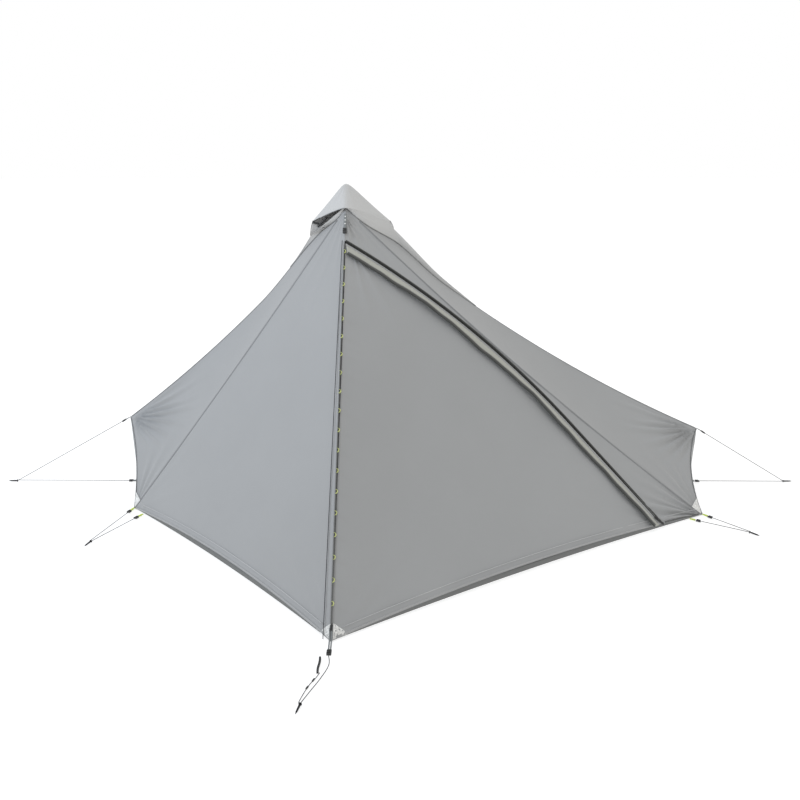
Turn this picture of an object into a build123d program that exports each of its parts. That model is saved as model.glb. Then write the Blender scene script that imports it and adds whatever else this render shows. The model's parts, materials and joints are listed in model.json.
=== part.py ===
"""Pyramid shelter carried by an A-frame of two telescoping poles.

Millimetres, +Z up, ground at z = 0.  X runs along the shelter from the left end to the
right end, and -Y is the front, where the door is.  The origin is on the ground, half way
between the outermost pegs.  The fly is six sided in plan: a pointed front and back under
the peak, and two narrow ends whose middles are lifted and guyed out.
"""

import os
from math import atan2, cos, degrees, pi, radians, sin, tan

from build123d import *

LEFT, RIGHT = -1, 1
FRONT, BACK = -1, 1
ENDS = (LEFT, RIGHT)
SIDES = (FRONT, BACK)

# Overall sizes of the pitched fly
PEAK_HEIGHT = 1500.0
HALF_WIDTH = 1409.0
LEFT_REACH = 1200.0
RIGHT_REACH = 1884.0
CORNER_BACK_LEFT = 84.0
CORNER_BACK_RIGHT = 74.0
CORNER_HALF_LEFT = 324.0
CORNER_HALF_RIGHT = 390.0
LIFT_LEFT = 390.0
LIFT_RIGHT = 325.0
CROWN_SET = 50.0
HEM_HEIGHT = 4.0
PEG_SPAN = 4390.0
PEAK_OFFSET = 265.0

# Fabric, and how far its cut edges are hollowed
FABRIC = 1.2
SEAM_GAP = 4.0
RIDGE_SAG_LEFT = 46.0
RIDGE_SAG_RIGHT = 82.0
SEAM_SAG_LEFT = 18.0
SEAM_SAG_RIGHT = 48.0
END_SAG_LEFT = 28.0
END_SAG_RIGHT = 52.0
HEM_RISE = 28.0
SHOULDER_STATIONS = 7
SHOULDER_START = 0.1
END_STATIONS = 6
END_STOP = 0.92
CUT_DEPTH = 90.0

# Hood over the peak, its two skirts and the two vents below its brims
HOOD_RISE = 103.0
HOOD_HALF_DEPTH = 74.0
HOOD_BRIM_LEFT = 168.0
HOOD_BRIM_RIGHT = 215.0
HOOD_BRIM_DROP = 67.0
HOOD_BRIM_HALF = 3.0
HOOD_BRIM_DEPTH = 5.0
HOOD_FABRIC = 2.0
SKIRT_REACH_LEFT = 290.0
SKIRT_REACH_RIGHT = 515.0
SKIRT_STAND = 16.0

# Door, zip and storm flap, in the plane of the front right panel
ZIP_TOP_ASIDE = 26.7
ZIP_TOP_BELOW = 218.0
ZIP_KNEE_ASIDE = 313.0
ZIP_KNEE_RISE = 597.0
ZIP_FOOT_FROM_CORNER = 280.1
ZIP_FOOT_UP = 19.0
HINGE_GAP = 17.0
TAPE_WIDTH = 15.0
TAPE_THICK = 1.0
COIL_GAP = 0.2
COIL_THICK = 3.0
COIL_CLEAR = 0.3
PANEL_EDGE = 7.0
FLAP_WIDTH = 46.0
FLAP_START = 15.5
FLAP_LIFT = 2.5
FLAP_THICK = 1.2
SLIDER_LENGTH = 26.0
SLIDER_HALF = 7.0
SLIDER_THICK = 4.0
SLIDER_START = 40.0
PULL_LENGTH = 34.0
PULL_WIDTH = 7.0
PULL_THICK = 1.6

# Ridge tapes, tabs and the strap below the peak
RIDGE_TAPE_RADIUS = 4.0
RIDGE_TAPE_TOP = 210.0
RIDGE_TAPE_FOOT = 60.0
TAB_COUNT = 19
TAB_RADIUS = 7.0
TAB_THICK = 3.0
TAB_FIRST = 255.0
TAB_LAST = 1880.0
STRAP_TOP = 42.0
STRAP_LENGTH = 82.0
STRAP_WIDTH = 14.0
STRAP_THICK = 1.8
STRAP_STAND = 5.0
RIDGE_CORD_START = 190.0
RIDGE_CORD_STOP = 10.0
RIDGE_CORD_ASIDE = 10.0
RIDGE_CORD_FOOT_ASIDE = 34.0
RIDGE_CORD_STAND = 6.0
BUCKLE_LENGTH = 30.0
BUCKLE_WIDTH = 19.0
BUCKLE_THICK = 6.0

# Groundsheet
SHEET_INSET = 34.0
SHEET_THICK = 1.2
SHEET_WALL = 32.0

# A-frame
FOOT_SPREAD = 760.0
CROWN_PIN_HEIGHT = 1425.0
CROWN_PIN_SET = 26.0
CROWN_WIDTH = 44.0
CROWN_TOP = 34.0
CROWN_SIDE = 22.0
PIN_RADIUS = 3.0
PIN_CLEAR = 0.08
EYE_RADIUS = 10.0
EYE_WIDTH = 16.0
EYE_CLEAR = 0.5
POLE_RADIUS = 9.0
POLE_START = 34.0
POLE_WALL = 1.2
POLE_CLEAR = 0.3
UPPER_LENGTH = 860.0
OVERLAP = 130.0
LOWER_WALL = 1.0
CLAMP_RADIUS = 14.0
CLAMP_LENGTH = 34.0
CLAMP_EAR = 9.0
CLAMP_EAR_WIDTH = 12.0
LEVER_LENGTH = 40.0
LEVER_WIDTH = 11.0
LEVER_THICK = 4.0
LEVER_CLEAR = 0.6
TIP_RADIUS = 17.0
TIP_LENGTH = 26.0
TIP_NECK = 11.0
GROUND_CLEAR = 0.5

# Vent props
PROP_BAR = 4.0
PROP_ROD = 2.6
PROP_HEIGHT = 40.0
PROP_HALF = 17.0
PROP_SHARE = 0.7
PROP_LIFT = 24.0
PROP_LEAN = 34.0
PROP_STRETCH = 1.1

# Webbing loops, line tensioners, pegs and cords
LOOP_WIDTH = 12.0
LOOP_THICK = 2.4
LOOP_LENGTH = 22.0
LOOP_GAP = 8.0
LOCK_LENGTH = 24.0
LOCK_WIDTH = 17.0
LOCK_THICK = 7.0
PEG_HEAD = 6.5
PEG_NECK = 3.0
PEG_SHANK = 4.2
PEG_LENGTH = 52.0
PEG_RIM = 3.0
CORD = 3.0
CORD_LIFT = 8.0
CORD_CLEAR = 1.0
CORD_SPREAD = 4.5
FLOOR_LOOP_ALONG = 96.0
CORNER_PEG_OUT_LEFT = 349.0
CORNER_PEG_OUT_RIGHT = 242.0
CORNER_PEG_TURN_LEFT = 74.4
CORNER_PEG_TURN_RIGHT = 48.0
TIP_PEG_OUT = 335.0
TIP_PEG_ASIDE = 73.0
TIP_STRAP_LENGTH = 40.0
TIP_STRAP_LIFT = 1.0

# Hand-laid routes of the loose cords, from under the peak, x to the right
TIP_CORD_ROUTE = [
    (0, -1492, 3.2),
    (7, -1520, 1.7),
    (4, -1552, 1.7),
    (-9, -1590, 1.7),
    (-26, -1632, 1.7),
    (-46, -1674, 1.7),
    (-62, -1712, 3.0),
    (-71, -1738, 6.0),
]
TIP_TAIL_ROUTE = [
    (-23, -1588, 5.5),
    (-34, -1611, 2.0),
    (-50, -1636, 1.7),
    (-61, -1664, 1.7),
    (-70, -1692, 1.7),
    (-76, -1716, 3.0),
    (-80, -1738, 6.0),
]

PEAK_X = -PEAK_OFFSET
REACH = {LEFT: LEFT_REACH, RIGHT: RIGHT_REACH}
CORNER_X = {LEFT: LEFT_REACH - CORNER_BACK_LEFT, RIGHT: RIGHT_REACH - CORNER_BACK_RIGHT}
CORNER_Y = {LEFT: CORNER_HALF_LEFT, RIGHT: CORNER_HALF_RIGHT}
LIFT = {LEFT: LIFT_LEFT, RIGHT: LIFT_RIGHT}
RIDGE_SAG = {LEFT: RIDGE_SAG_LEFT, RIGHT: RIDGE_SAG_RIGHT}
SEAM_SAG = {LEFT: SEAM_SAG_LEFT, RIGHT: SEAM_SAG_RIGHT}
END_SAG = {LEFT: END_SAG_LEFT, RIGHT: END_SAG_RIGHT}
BRIM = {LEFT: HOOD_BRIM_LEFT, RIGHT: HOOD_BRIM_RIGHT}
SKIRT_REACH = {LEFT: SKIRT_REACH_LEFT, RIGHT: SKIRT_REACH_RIGHT}
SKIRT_SIDE = {LEFT: BACK, RIGHT: FRONT}
PEG_X = PEG_SPAN / 2 - PEG_LENGTH

CORNER_PEG_OUT = {LEFT: CORNER_PEG_OUT_LEFT, RIGHT: CORNER_PEG_OUT_RIGHT}
CORNER_PEG_TURN = {LEFT: CORNER_PEG_TURN_LEFT, RIGHT: CORNER_PEG_TURN_RIGHT}
PEGS = {
    "left": (LEFT, 0),
    "right": (RIGHT, 0),
    "front": (0, FRONT),
    "back": (0, BACK),
    "left_front": (LEFT, FRONT),
    "left_back": (LEFT, BACK),
    "right_front": (RIGHT, FRONT),
    "right_back": (RIGHT, BACK),
}
END_NAMES = {LEFT: "left", RIGHT: "right"}
SIDE_NAMES = {FRONT: "front", BACK: "back"}


# ---------------------------------------------------------------- points of the fly
def crown_point(side):
    """Top of the front or back ridge."""
    return Vector(PEAK_X, side * CROWN_SET, PEAK_HEIGHT)


def tip_point(side):
    """Pointed corner on the ground at the front or back."""
    return Vector(PEAK_X, side * HALF_WIDTH, HEM_HEIGHT)


def corner_point(end, side):
    """One of the four corners beside the two ends."""
    return Vector(PEAK_X + end * CORNER_X[end], side * CORNER_Y[end], HEM_HEIGHT)


def raised_point(end):
    """Lifted middle of an end."""
    return Vector(PEAK_X + end * REACH[end], 0, LIFT[end])


def hem_middle(end):
    """Middle of an end's hem, straight under the lifted point."""
    return Vector(PEAK_X + end * REACH[end], 0, HEM_HEIGHT)


def peak_point():
    """Where the two end ridges start."""
    return Vector(PEAK_X, 0, PEAK_HEIGHT)


def panel_plane(end, side):
    """Plane of a main panel: origin at the tip, x along the hem, z outwards."""
    tip, corner, crown = tip_point(side), corner_point(end, side), crown_point(side)
    along = (corner - tip).normalized()
    normal = along.cross(crown - tip).normalized()
    if normal.Z < 0:
        normal = -normal
    return Plane(origin=tip, x_dir=along, z_dir=normal)


def flat_on(plane, point):
    """A point's place in a plane, as a pair."""
    local = plane.to_local_coords(Vector(point))
    return (local.X, local.Y)


def bowed(start, stop, share, depth, towards):
    """Point at a share of the way along an edge that is hollowed towards a direction."""
    return start + (stop - start) * share + towards * (4 * share * (1 - share) * depth)


def seam_point(end, side, share):
    """Point of the seam from the crown to a corner, hollowed in the panel's plane."""
    crown, corner, tip = crown_point(side), corner_point(end, side), tip_point(side)
    chord = (corner - crown).normalized()
    inward = (tip - crown) - chord * (tip - crown).dot(chord)
    return bowed(crown, corner, share, SEAM_SAG[end], inward.normalized())


def ridge_point(end, share):
    """Point of the sagging ridge from the peak to a lifted end."""
    peak, raised = peak_point(), raised_point(end)
    chord = (raised - peak).normalized()
    down = Vector(0, 0, -1) + chord * chord.Z
    return bowed(peak, raised, share, RIDGE_SAG[end], down.normalized())


# ---------------------------------------------------------------- main panels
def hem_height(end, side, along):
    """How far the hem is hollowed up at a distance from the tip."""
    length = (corner_point(end, side) - tip_point(side)).length
    return 4 * HEM_RISE * along * (length - along) / length**2


def make_main_panel(end, side):
    """Flat triangular panel between a ridge and a seam, with a hollowed hem."""
    plane = panel_plane(end, side)
    length = (corner_point(end, side) - tip_point(side)).length
    crown = flat_on(plane, crown_point(side))
    seam = flat_on(plane, seam_point(end, side, 0.5))
    with BuildPart() as panel:
        with BuildSketch(plane):
            with BuildLine():
                Line((0, 0), crown)
                ThreePointArc(crown, seam, (length, 0))
                ThreePointArc((length, 0), (length / 2, hem_height(end, side, length / 2)), (0, 0))
            make_face()
            offset(amount=-SEAM_GAP, kind=Kind.INTERSECTION, mode=Mode.REPLACE)
        extrude(amount=-FABRIC)
    return panel.part


# ---------------------------------------------------------------- the zip's line
ZIP_PLANE = panel_plane(RIGHT, FRONT)
ZIP_HEM = (corner_point(RIGHT, FRONT) - tip_point(FRONT)).length
ZIP_FOOT = Vector(ZIP_HEM - ZIP_FOOT_FROM_CORNER, ZIP_FOOT_UP)
ZIP_KNEE = ZIP_FOOT + Vector(-ZIP_KNEE_ASIDE, ZIP_KNEE_RISE)
ZIP_TOP = Vector(*flat_on(ZIP_PLANE, crown_point(FRONT))) - Vector(ZIP_TOP_ASIDE, ZIP_TOP_BELOW)
ZIP_RUN = (ZIP_KNEE - ZIP_FOOT).normalized()
ZIP_IN = Vector(-ZIP_RUN.Y, ZIP_RUN.X)
ZIP_CHORD = ZIP_TOP - ZIP_KNEE
ZIP_RADIUS = ZIP_CHORD.length**2 / (2 * ZIP_CHORD.dot(ZIP_IN))
ZIP_CENTRE = ZIP_KNEE + ZIP_IN * ZIP_RADIUS
ZIP_ANGLE = degrees(atan2(-ZIP_IN.Y, -ZIP_IN.X))
ZIP_SWEEP = degrees(atan2(ZIP_TOP.Y - ZIP_CENTRE.Y, ZIP_TOP.X - ZIP_CENTRE.X)) - ZIP_ANGLE


def zip_foot(shift):
    """Foot of a line that runs beside the zip, a shift away on the fixed side, level with its foot."""
    return ZIP_FOOT + Vector(shift / ZIP_RUN.Y, 0)


def zip_knee(shift):
    """Where such a line turns from its straight run into its arc."""
    return ZIP_KNEE - ZIP_IN * shift


def zip_top(shift):
    """Top of such a line."""
    angle = radians(ZIP_ANGLE + ZIP_SWEEP)
    return ZIP_CENTRE + Vector(cos(angle), sin(angle)) * (ZIP_RADIUS + shift)


def zip_edge(shift):
    """Straight run and arc of a line beside the zip."""
    Line(zip_foot(shift), zip_knee(shift))
    CenterArc(ZIP_CENTRE, ZIP_RADIUS + shift, ZIP_ANGLE, ZIP_SWEEP)


def make_band(inner, outer, low, high):
    """Strip that follows the zip between two shifts and two heights over the panel."""
    with BuildPart() as band:
        with BuildSketch(ZIP_PLANE.offset(low)):
            with BuildLine():
                zip_edge(inner)
                Line(zip_top(inner), zip_top(outer))
                zip_edge(outer)
                Line(zip_foot(outer), zip_foot(inner))
            make_face()
        extrude(amount=high - low)
    return band.part


def make_fixed_panel():
    """Front right panel above the zip, cut along the zip and along the ridge's tape."""
    crown = Vector(*flat_on(ZIP_PLANE, crown_point(FRONT)))
    seam = flat_on(ZIP_PLANE, seam_point(RIGHT, FRONT, 0.5))
    length = (corner_point(RIGHT, FRONT) - tip_point(FRONT)).length
    ridge = crown.normalized()
    notch = ridge * zip_top(PANEL_EDGE).dot(ridge)
    foot = zip_foot(PANEL_EDGE)
    with BuildPart() as panel:
        with BuildSketch(ZIP_PLANE):
            with BuildLine():
                zip_edge(PANEL_EDGE)
                Line(zip_top(PANEL_EDGE), notch)
                Line(notch, crown)
                ThreePointArc(crown, seam, (length, 0))
                Line((length, 0), foot)
            make_face()
            offset(amount=-SEAM_GAP, kind=Kind.INTERSECTION, mode=Mode.REPLACE)
        extrude(amount=-FABRIC)
    return panel.part


def make_door():
    """Door between the front ridge and the zip, clear of the ridge that it swings on."""
    ridge = Vector(*flat_on(ZIP_PLANE, crown_point(FRONT))).normalized()
    aside = Vector(ridge.Y, -ridge.X) * HINGE_GAP
    top = zip_top(-PANEL_EDGE)
    corner = aside + ridge * top.dot(ridge)
    foot = zip_foot(-PANEL_EDGE)
    start = aside * (1 + SEAM_GAP / HINGE_GAP) + ridge * SEAM_GAP
    middle = (start + foot) * 0.5
    with BuildPart() as door:
        with BuildSketch(ZIP_PLANE):
            with BuildLine():
                zip_edge(-PANEL_EDGE)
                Line(top, corner)
                Line(corner, start)
                ThreePointArc(start, middle + Vector(0, HEM_RISE), foot)
            make_face()
        extrude(amount=-FABRIC)
    return door.part


def slider_plane(along, lift):
    """Plane on the zip's straight run, x up the run and z outwards."""
    centre = ZIP_PLANE.from_local_coords(ZIP_FOOT + ZIP_RUN * along)
    run = ZIP_PLANE.from_local_coords(ZIP_FOOT + ZIP_RUN * (along + 1)) - centre
    return Plane(origin=centre + ZIP_PLANE.z_dir * lift, x_dir=run, z_dir=ZIP_PLANE.z_dir)


def make_slider():
    """Slider over the coil, with a bridge for its pull."""
    lift = COIL_THICK + COIL_CLEAR
    with BuildPart() as slider:
        with BuildSketch(slider_plane(SLIDER_START, lift)):
            Trapezoid(SLIDER_LENGTH, 2 * SLIDER_HALF, 82, rotation=0)
        extrude(amount=SLIDER_THICK)
        with BuildSketch(slider_plane(SLIDER_START, lift + SLIDER_THICK)):
            Rectangle(SLIDER_LENGTH * 0.5, SLIDER_HALF * 0.5)
        extrude(amount=SLIDER_THICK)
        fillet(slider.edges().filter_by(GeomType.LINE).sort_by(SortBy.LENGTH)[-4:], 0.6)
    return slider.part


def make_pull():
    """Flat pull that hangs from the slider's bridge."""
    lift = COIL_THICK + COIL_CLEAR + SLIDER_THICK
    start = SLIDER_START - SLIDER_LENGTH / 2 - PULL_LENGTH / 2
    with BuildPart() as pull:
        with BuildSketch(slider_plane(start, lift)):
            SlotOverall(PULL_LENGTH, PULL_WIDTH)
            with Locations((PULL_LENGTH / 2 - PULL_WIDTH / 2, 0)):
                Circle(PULL_WIDTH / 4, mode=Mode.SUBTRACT)
        extrude(amount=PULL_THICK)
    return pull.part


# ---------------------------------------------------------------- shoulders and ends
def cloth_section(start, stop, beside):
    """Plane and width of a strip of cloth from start to stop, y away from a point inside."""
    run = (stop - start).normalized()
    inward = beside - start
    outward = (run * inward.dot(run) - inward).normalized()
    return Plane(origin=start + run * SEAM_GAP, x_dir=run, z_dir=run.cross(outward))


def make_shoulder(end, side):
    """Long narrow panel between a seam and the sagging end ridge."""
    inside = Vector(PEAK_X, 0, 0)
    corner, raised = corner_point(end, side), raised_point(end)
    span = (raised - corner).length
    with BuildPart() as shoulder:
        for step in range(SHOULDER_STATIONS):
            share = SHOULDER_START + (1 - SHOULDER_START) * step / (SHOULDER_STATIONS - 1)
            low, high = seam_point(end, side, share), ridge_point(end, share)
            with BuildSketch(cloth_section(low, high, inside)):
                Rectangle((high - low).length - 2 * SEAM_GAP, FABRIC, align=(Align.MIN, Align.MAX))
        loft(ruled=True)
        with BuildSketch(shoulder_end_plane(end, side)):
            with BuildLine():
                Polyline((0, -SEAM_GAP), (-span, -SEAM_GAP), (-span, span), (2 * span, span))
                Polyline((2 * span, span), (2 * span, -SEAM_GAP), (span, -SEAM_GAP))
                ThreePointArc((span, -SEAM_GAP), (span / 2, -END_SAG[end]), (0, -SEAM_GAP))
            make_face()
        extrude(amount=CUT_DEPTH, both=True, mode=Mode.SUBTRACT)
    return shoulder.part


def shoulder_end_plane(end, side):
    """Plane of a shoulder's end: x from the corner to the lifted point, y outwards."""
    corner, raised = corner_point(end, side), raised_point(end)
    along = (raised - corner).normalized()
    inward = ridge_point(end, 0.5) - raised
    normal = along.cross(inward).normalized()
    plane = Plane(origin=corner, x_dir=along, z_dir=normal)
    if flat_on(plane, raised + inward)[1] > 0:
        plane = Plane(origin=corner, x_dir=along, z_dir=-normal)
    return plane


def make_end(end):
    """Two steep facets that close an end, from its upright seam to the shoulders' hollow edges."""
    inside = Vector(PEAK_X, 0, 0)
    with BuildPart() as facets:
        for side in SIDES:
            corner, raised = corner_point(end, side), raised_point(end)
            inward = shoulder_end_plane(end, side).y_dir * -1
            for step in range(END_STATIONS):
                share = END_STOP * step / (END_STATIONS - 1)
                edge = bowed(corner, raised, share, END_SAG[end], inward)
                middle = hem_middle(end) + (raised - hem_middle(end)) * share
                with BuildSketch(cloth_section(middle, edge, inside)):
                    Rectangle((edge - middle).length - 2 * SEAM_GAP, FABRIC, align=(Align.MIN, Align.MAX))
            loft(ruled=True)
    return facets.part


# ---------------------------------------------------------------- hood and vents
def hood_sections(end, drop):
    """Planes and corner lists of the hood's sections at the peak and at a brim."""
    top = PEAK_HEIGHT + HOOD_RISE - drop
    foot = PEAK_HEIGHT - drop * HOOD_BRIM_DEPTH
    brim = PEAK_HEIGHT - HOOD_BRIM_DROP - drop
    low = PEAK_HEIGHT - HOOD_BRIM_DROP - HOOD_BRIM_DEPTH * (1 + drop)
    wide = HOOD_HALF_DEPTH * (top - foot) / HOOD_RISE
    narrow = HOOD_BRIM_HALF * (brim - low) / HOOD_BRIM_DEPTH
    return (
        (Plane.YZ.offset(PEAK_X), [(0, top), (-wide, foot), (wide, foot)]),
        (Plane.YZ.offset(PEAK_X + end * BRIM[end]), [(0, brim), (-narrow, low), (narrow, low)]),
    )


def ridge_height(end, reach):
    """Height of the sagging end ridge at a distance from the peak."""
    return ridge_point(end, reach / REACH[end]).Z


def hood_corner(side):
    """Lowest point of the hood over the front or back ridge."""
    return Vector(PEAK_X, side * HOOD_HALF_DEPTH, PEAK_HEIGHT)


def hood_brim(end):
    """Point of the hood's brim over an end ridge."""
    return Vector(PEAK_X + end * BRIM[end], 0, PEAK_HEIGHT - HOOD_BRIM_DROP)


def make_hood():
    """Peak hood: a roof of two pyramids, thinned to cloth and open below."""
    with BuildPart() as hood:
        for drop, mode in ((0, Mode.ADD), (HOOD_FABRIC, Mode.SUBTRACT)):
            for end in ENDS:
                for plane, corners in hood_sections(end, drop):
                    with BuildSketch(plane):
                        Polygon(*corners, align=None)
                loft(ruled=True, mode=mode)
    return hood.part


def make_skirts():
    """Two triangles that close the hood down to the fly, away from the vents."""
    with BuildPart() as skirts:
        for end in ENDS:
            side = SKIRT_SIDE[end]
            reach = SKIRT_REACH[end]
            far = Vector(PEAK_X + end * reach, 0, ridge_height(end, reach) + SKIRT_STAND)
            near, brim = hood_corner(side), hood_brim(end) - Vector(0, 0, 2 * HOOD_BRIM_DEPTH)
            near = near - Vector(0, 0, 2 * HOOD_BRIM_DEPTH)
            along = (far - near).normalized()
            plane = Plane(origin=near, x_dir=along, z_dir=along.cross(brim - near))
            with BuildSketch(plane):
                with BuildLine():
                    Polyline(flat_on(plane, near), flat_on(plane, far), flat_on(plane, brim), close=True)
                make_face()
            extrude(amount=FABRIC)
    return skirts.part


def make_prop(end):
    """Crossed prop that holds a vent's brim up, with its hinge rod along the bottom."""
    base = prop_base(end)
    with BuildPart() as prop:
        with BuildSketch(Plane(origin=base, x_dir=(1, 0, 0), z_dir=(0, 1, 0))):
            Circle(PROP_ROD)
        extrude(amount=PROP_HALF, both=True)
        with BuildSketch(Plane(origin=base, x_dir=(0, 1, 0), z_dir=(1, 0, 0))):
            for turn in (1, -1):
                with Locations(Location((0, PROP_HEIGHT / 2, 0), (0, 0, turn * PROP_LEAN))):
                    Rectangle(PROP_BAR, PROP_HEIGHT * PROP_STRETCH)
        extrude(amount=PROP_BAR / 2, both=True)
    return prop.part


def prop_base(end):
    """Middle of a prop's hinge rod."""
    reach = BRIM[end] * PROP_SHARE
    return Vector(PEAK_X + end * reach, 0, ridge_height(end, reach) + PROP_LIFT)


# ---------------------------------------------------------------- ridge fittings
def ridge_plane(side, down, stand):
    """Plane on a ridge: x down the ridge, z away from the shelter."""
    crown, tip = crown_point(side), tip_point(side)
    along = (tip - crown).normalized()
    out = along.cross(Vector(1, 0, 0)).normalized()
    if out.Z < 0:
        out = -out
    return Plane(origin=crown + along * down + out * stand, x_dir=along, z_dir=out)


def ridge_length(side):
    """Length of a ridge from crown to tip."""
    return (tip_point(side) - crown_point(side)).length


def make_ridge_tapes():
    """Round binding along the front and back ridges."""
    with BuildPart() as tapes:
        for side in SIDES:
            plane = ridge_plane(side, RIDGE_TAPE_TOP, 0)
            run = Plane(origin=plane.origin, x_dir=(1, 0, 0), z_dir=plane.x_dir)
            with BuildSketch(run):
                Circle(RIDGE_TAPE_RADIUS)
            extrude(amount=ridge_length(side) - RIDGE_TAPE_TOP - RIDGE_TAPE_FOOT)
    return tapes.part


def make_tabs():
    """Half-moon tabs that stand off the front ridge at even steps."""
    step = (TAB_LAST - TAB_FIRST) / (TAB_COUNT - 1)
    with BuildPart() as tabs:
        for index in range(TAB_COUNT):
            plane = ridge_plane(FRONT, TAB_FIRST + index * step, RIDGE_TAPE_RADIUS + 0.2)
            upright = Plane(origin=plane.origin, x_dir=plane.x_dir, z_dir=(1, 0, 0))
            with BuildSketch(upright):
                Circle(TAB_RADIUS)
                keep = 1 if upright.y_dir.dot(plane.z_dir) > 0 else -1
                with Locations((0, -keep * TAB_RADIUS)):
                    Rectangle(4 * TAB_RADIUS, 2 * TAB_RADIUS, mode=Mode.SUBTRACT)
            extrude(amount=TAB_THICK / 2, both=True)
    return tabs.part


def make_strap():
    """Webbing strap down the front ridge below the hood."""
    with BuildPart() as strap:
        with BuildSketch(ridge_plane(FRONT, STRAP_TOP + STRAP_LENGTH / 2, STRAP_STAND)):
            Rectangle(STRAP_LENGTH, STRAP_WIDTH)
        extrude(amount=STRAP_THICK)
    return strap.part


def make_buckles():
    """Ladder buckles: one below the peak strap and one on each tip strap."""
    with BuildPart() as buckles:
        planes = [ridge_plane(FRONT, STRAP_TOP + STRAP_LENGTH + BUCKLE_LENGTH / 2 + 1, STRAP_STAND)]
        for side in SIDES:
            planes.append(tip_plane(side, TIP_STRAP_LENGTH + BUCKLE_LENGTH / 2 + 1))
        for plane in planes:
            with BuildSketch(plane):
                RectangleRounded(BUCKLE_LENGTH, BUCKLE_WIDTH, BUCKLE_WIDTH / 6)
                with GridLocations(BUCKLE_LENGTH / 3, 0, 2, 1):
                    Rectangle(BUCKLE_LENGTH / 7, BUCKLE_WIDTH * 0.6, mode=Mode.SUBTRACT)
            extrude(amount=BUCKLE_THICK)
    return buckles.part


# ---------------------------------------------------------------- ground fittings
def peg_point(name):
    """Where the cords meet a peg, on the ground line."""
    end, side = PEGS[name]
    if side == 0:
        return Vector(end * PEG_X, 0, CORD_LIFT)
    if end == 0:
        return Vector(PEAK_X - TIP_PEG_ASIDE, side * (HALF_WIDTH + TIP_PEG_OUT), CORD_LIFT)
    corner = corner_point(end, side)
    turn = radians(CORNER_PEG_TURN[end])
    reach = CORNER_PEG_OUT[end]
    return Vector(corner.X + end * reach * cos(turn), corner.Y + side * reach * sin(turn), CORD_LIFT)


def peg_direction(name):
    """Level direction in which a peg lies, away from the shelter."""
    end, side = PEGS[name]
    if side == 0:
        return Vector(end, 0, 0)
    start = tip_point(side) if end == 0 else corner_point(end, side)
    out = peg_point(name) - start
    return Vector(out.X, out.Y, 0).normalized()


def make_pegs():
    """Turned pegs: a head, a neck for the cord and a tapered shank."""
    with BuildPart() as pegs:
        for name in PEGS:
            start, out = peg_point(name), peg_direction(name)
            lift = Vector(start.X, start.Y, PEG_HEAD + 0.1) + out * CORD_CLEAR
            plane = Plane(origin=lift, x_dir=out, z_dir=(0, 0, 1))
            with BuildSketch(plane):
                with BuildLine():
                    Polyline(
                        (0, 0),
                        (0, PEG_HEAD),
                        (PEG_RIM, PEG_HEAD),
                        (PEG_RIM, PEG_NECK),
                        (3 * PEG_RIM, PEG_NECK),
                        (3 * PEG_RIM, PEG_SHANK),
                        (PEG_LENGTH * 0.75, PEG_SHANK * 0.8),
                        (PEG_LENGTH, 0),
                        close=True,
                    )
                make_face()
            revolve(axis=Axis(lift, out))
    return pegs.part


def line_plane(start, stop, along):
    """Plane on the line from start to stop: x along it, z as near upright as it can be."""
    run = (stop - start).normalized()
    aside = Vector(0, 0, 1).cross(run).normalized()
    return Plane(origin=start + run * along, x_dir=run, z_dir=run.cross(aside))


def tip_plane(side, out):
    """Level plane on the ground outside a tip, x pointing out."""
    return Plane(
        origin=Vector(PEAK_X, side * (HALF_WIDTH + LOOP_GAP + out), TIP_STRAP_LIFT),
        x_dir=(0, side, 0),
        z_dir=(0, 0, 1),
    )


def make_tip_straps():
    """Flat webbing straps on the ground in front of the two tips."""
    with BuildPart() as straps:
        for side in SIDES:
            with BuildSketch(tip_plane(side, TIP_STRAP_LENGTH / 2)):
                Rectangle(TIP_STRAP_LENGTH, LOOP_WIDTH)
            extrude(amount=LOOP_THICK)
    return straps.part


def guy_lines():
    """Each staked line: its name, where its loop starts and where its cord ends."""
    lines = {}
    for name, (end, side) in PEGS.items():
        peg, out = peg_point(name), peg_direction(name)
        aside = Vector(-out.Y, out.X, 0) * CORD_SPREAD
        if side == 0:
            lines[f"{name}_raised"] = (raised_point(end), peg + aside)
            lines[f"{name}_low"] = (hem_middle(end) + Vector(0, 0, CORD_LIFT - HEM_HEIGHT), peg - aside)
        elif end != 0:
            corner, tip = corner_point(end, side), tip_point(side)
            level = Vector(0, 0, CORD_LIFT - HEM_HEIGHT)
            hem = (tip - corner).normalized()
            beyond = Vector(hem.Y, -hem.X, 0)
            if beyond.Y * side < 0:
                beyond = -beyond
            floor = corner + level + hem * FLOOR_LOOP_ALONG + beyond * 2
            turn = -end * side
            lines[f"{name}_corner"] = (corner + level, peg + aside * turn)
            lines[f"{name}_floor"] = (floor, peg - aside * turn)
    return lines


def make_loops():
    """Flat webbing loops where the staked lines leave the fly and the groundsheet."""
    with BuildPart() as loops:
        for start, stop in guy_lines().values():
            plane = line_plane(start, stop, LOOP_GAP + LOOP_LENGTH / 2)
            with BuildSketch(plane.offset(-LOOP_THICK / 2)):
                Rectangle(LOOP_LENGTH, LOOP_WIDTH)
            extrude(amount=LOOP_THICK)
    return loops.part


def make_locks():
    """Line tensioners: a body with a toothed throat that grips the cord."""
    with BuildPart() as locks:
        for start, stop in guy_lines().values():
            plane = line_plane(start, stop, LOOP_GAP + LOOP_LENGTH + 1 + LOCK_LENGTH / 2)
            with BuildSketch(plane.offset(-LOCK_THICK / 2)):
                Trapezoid(LOCK_LENGTH, LOCK_WIDTH, 80, rotation=0)
                with Locations((-LOCK_LENGTH / 5, 0)):
                    Rectangle(LOOP_THICK * 1.6, LOOP_WIDTH, mode=Mode.SUBTRACT)
            extrude(amount=LOCK_THICK)
    return locks.part


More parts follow.
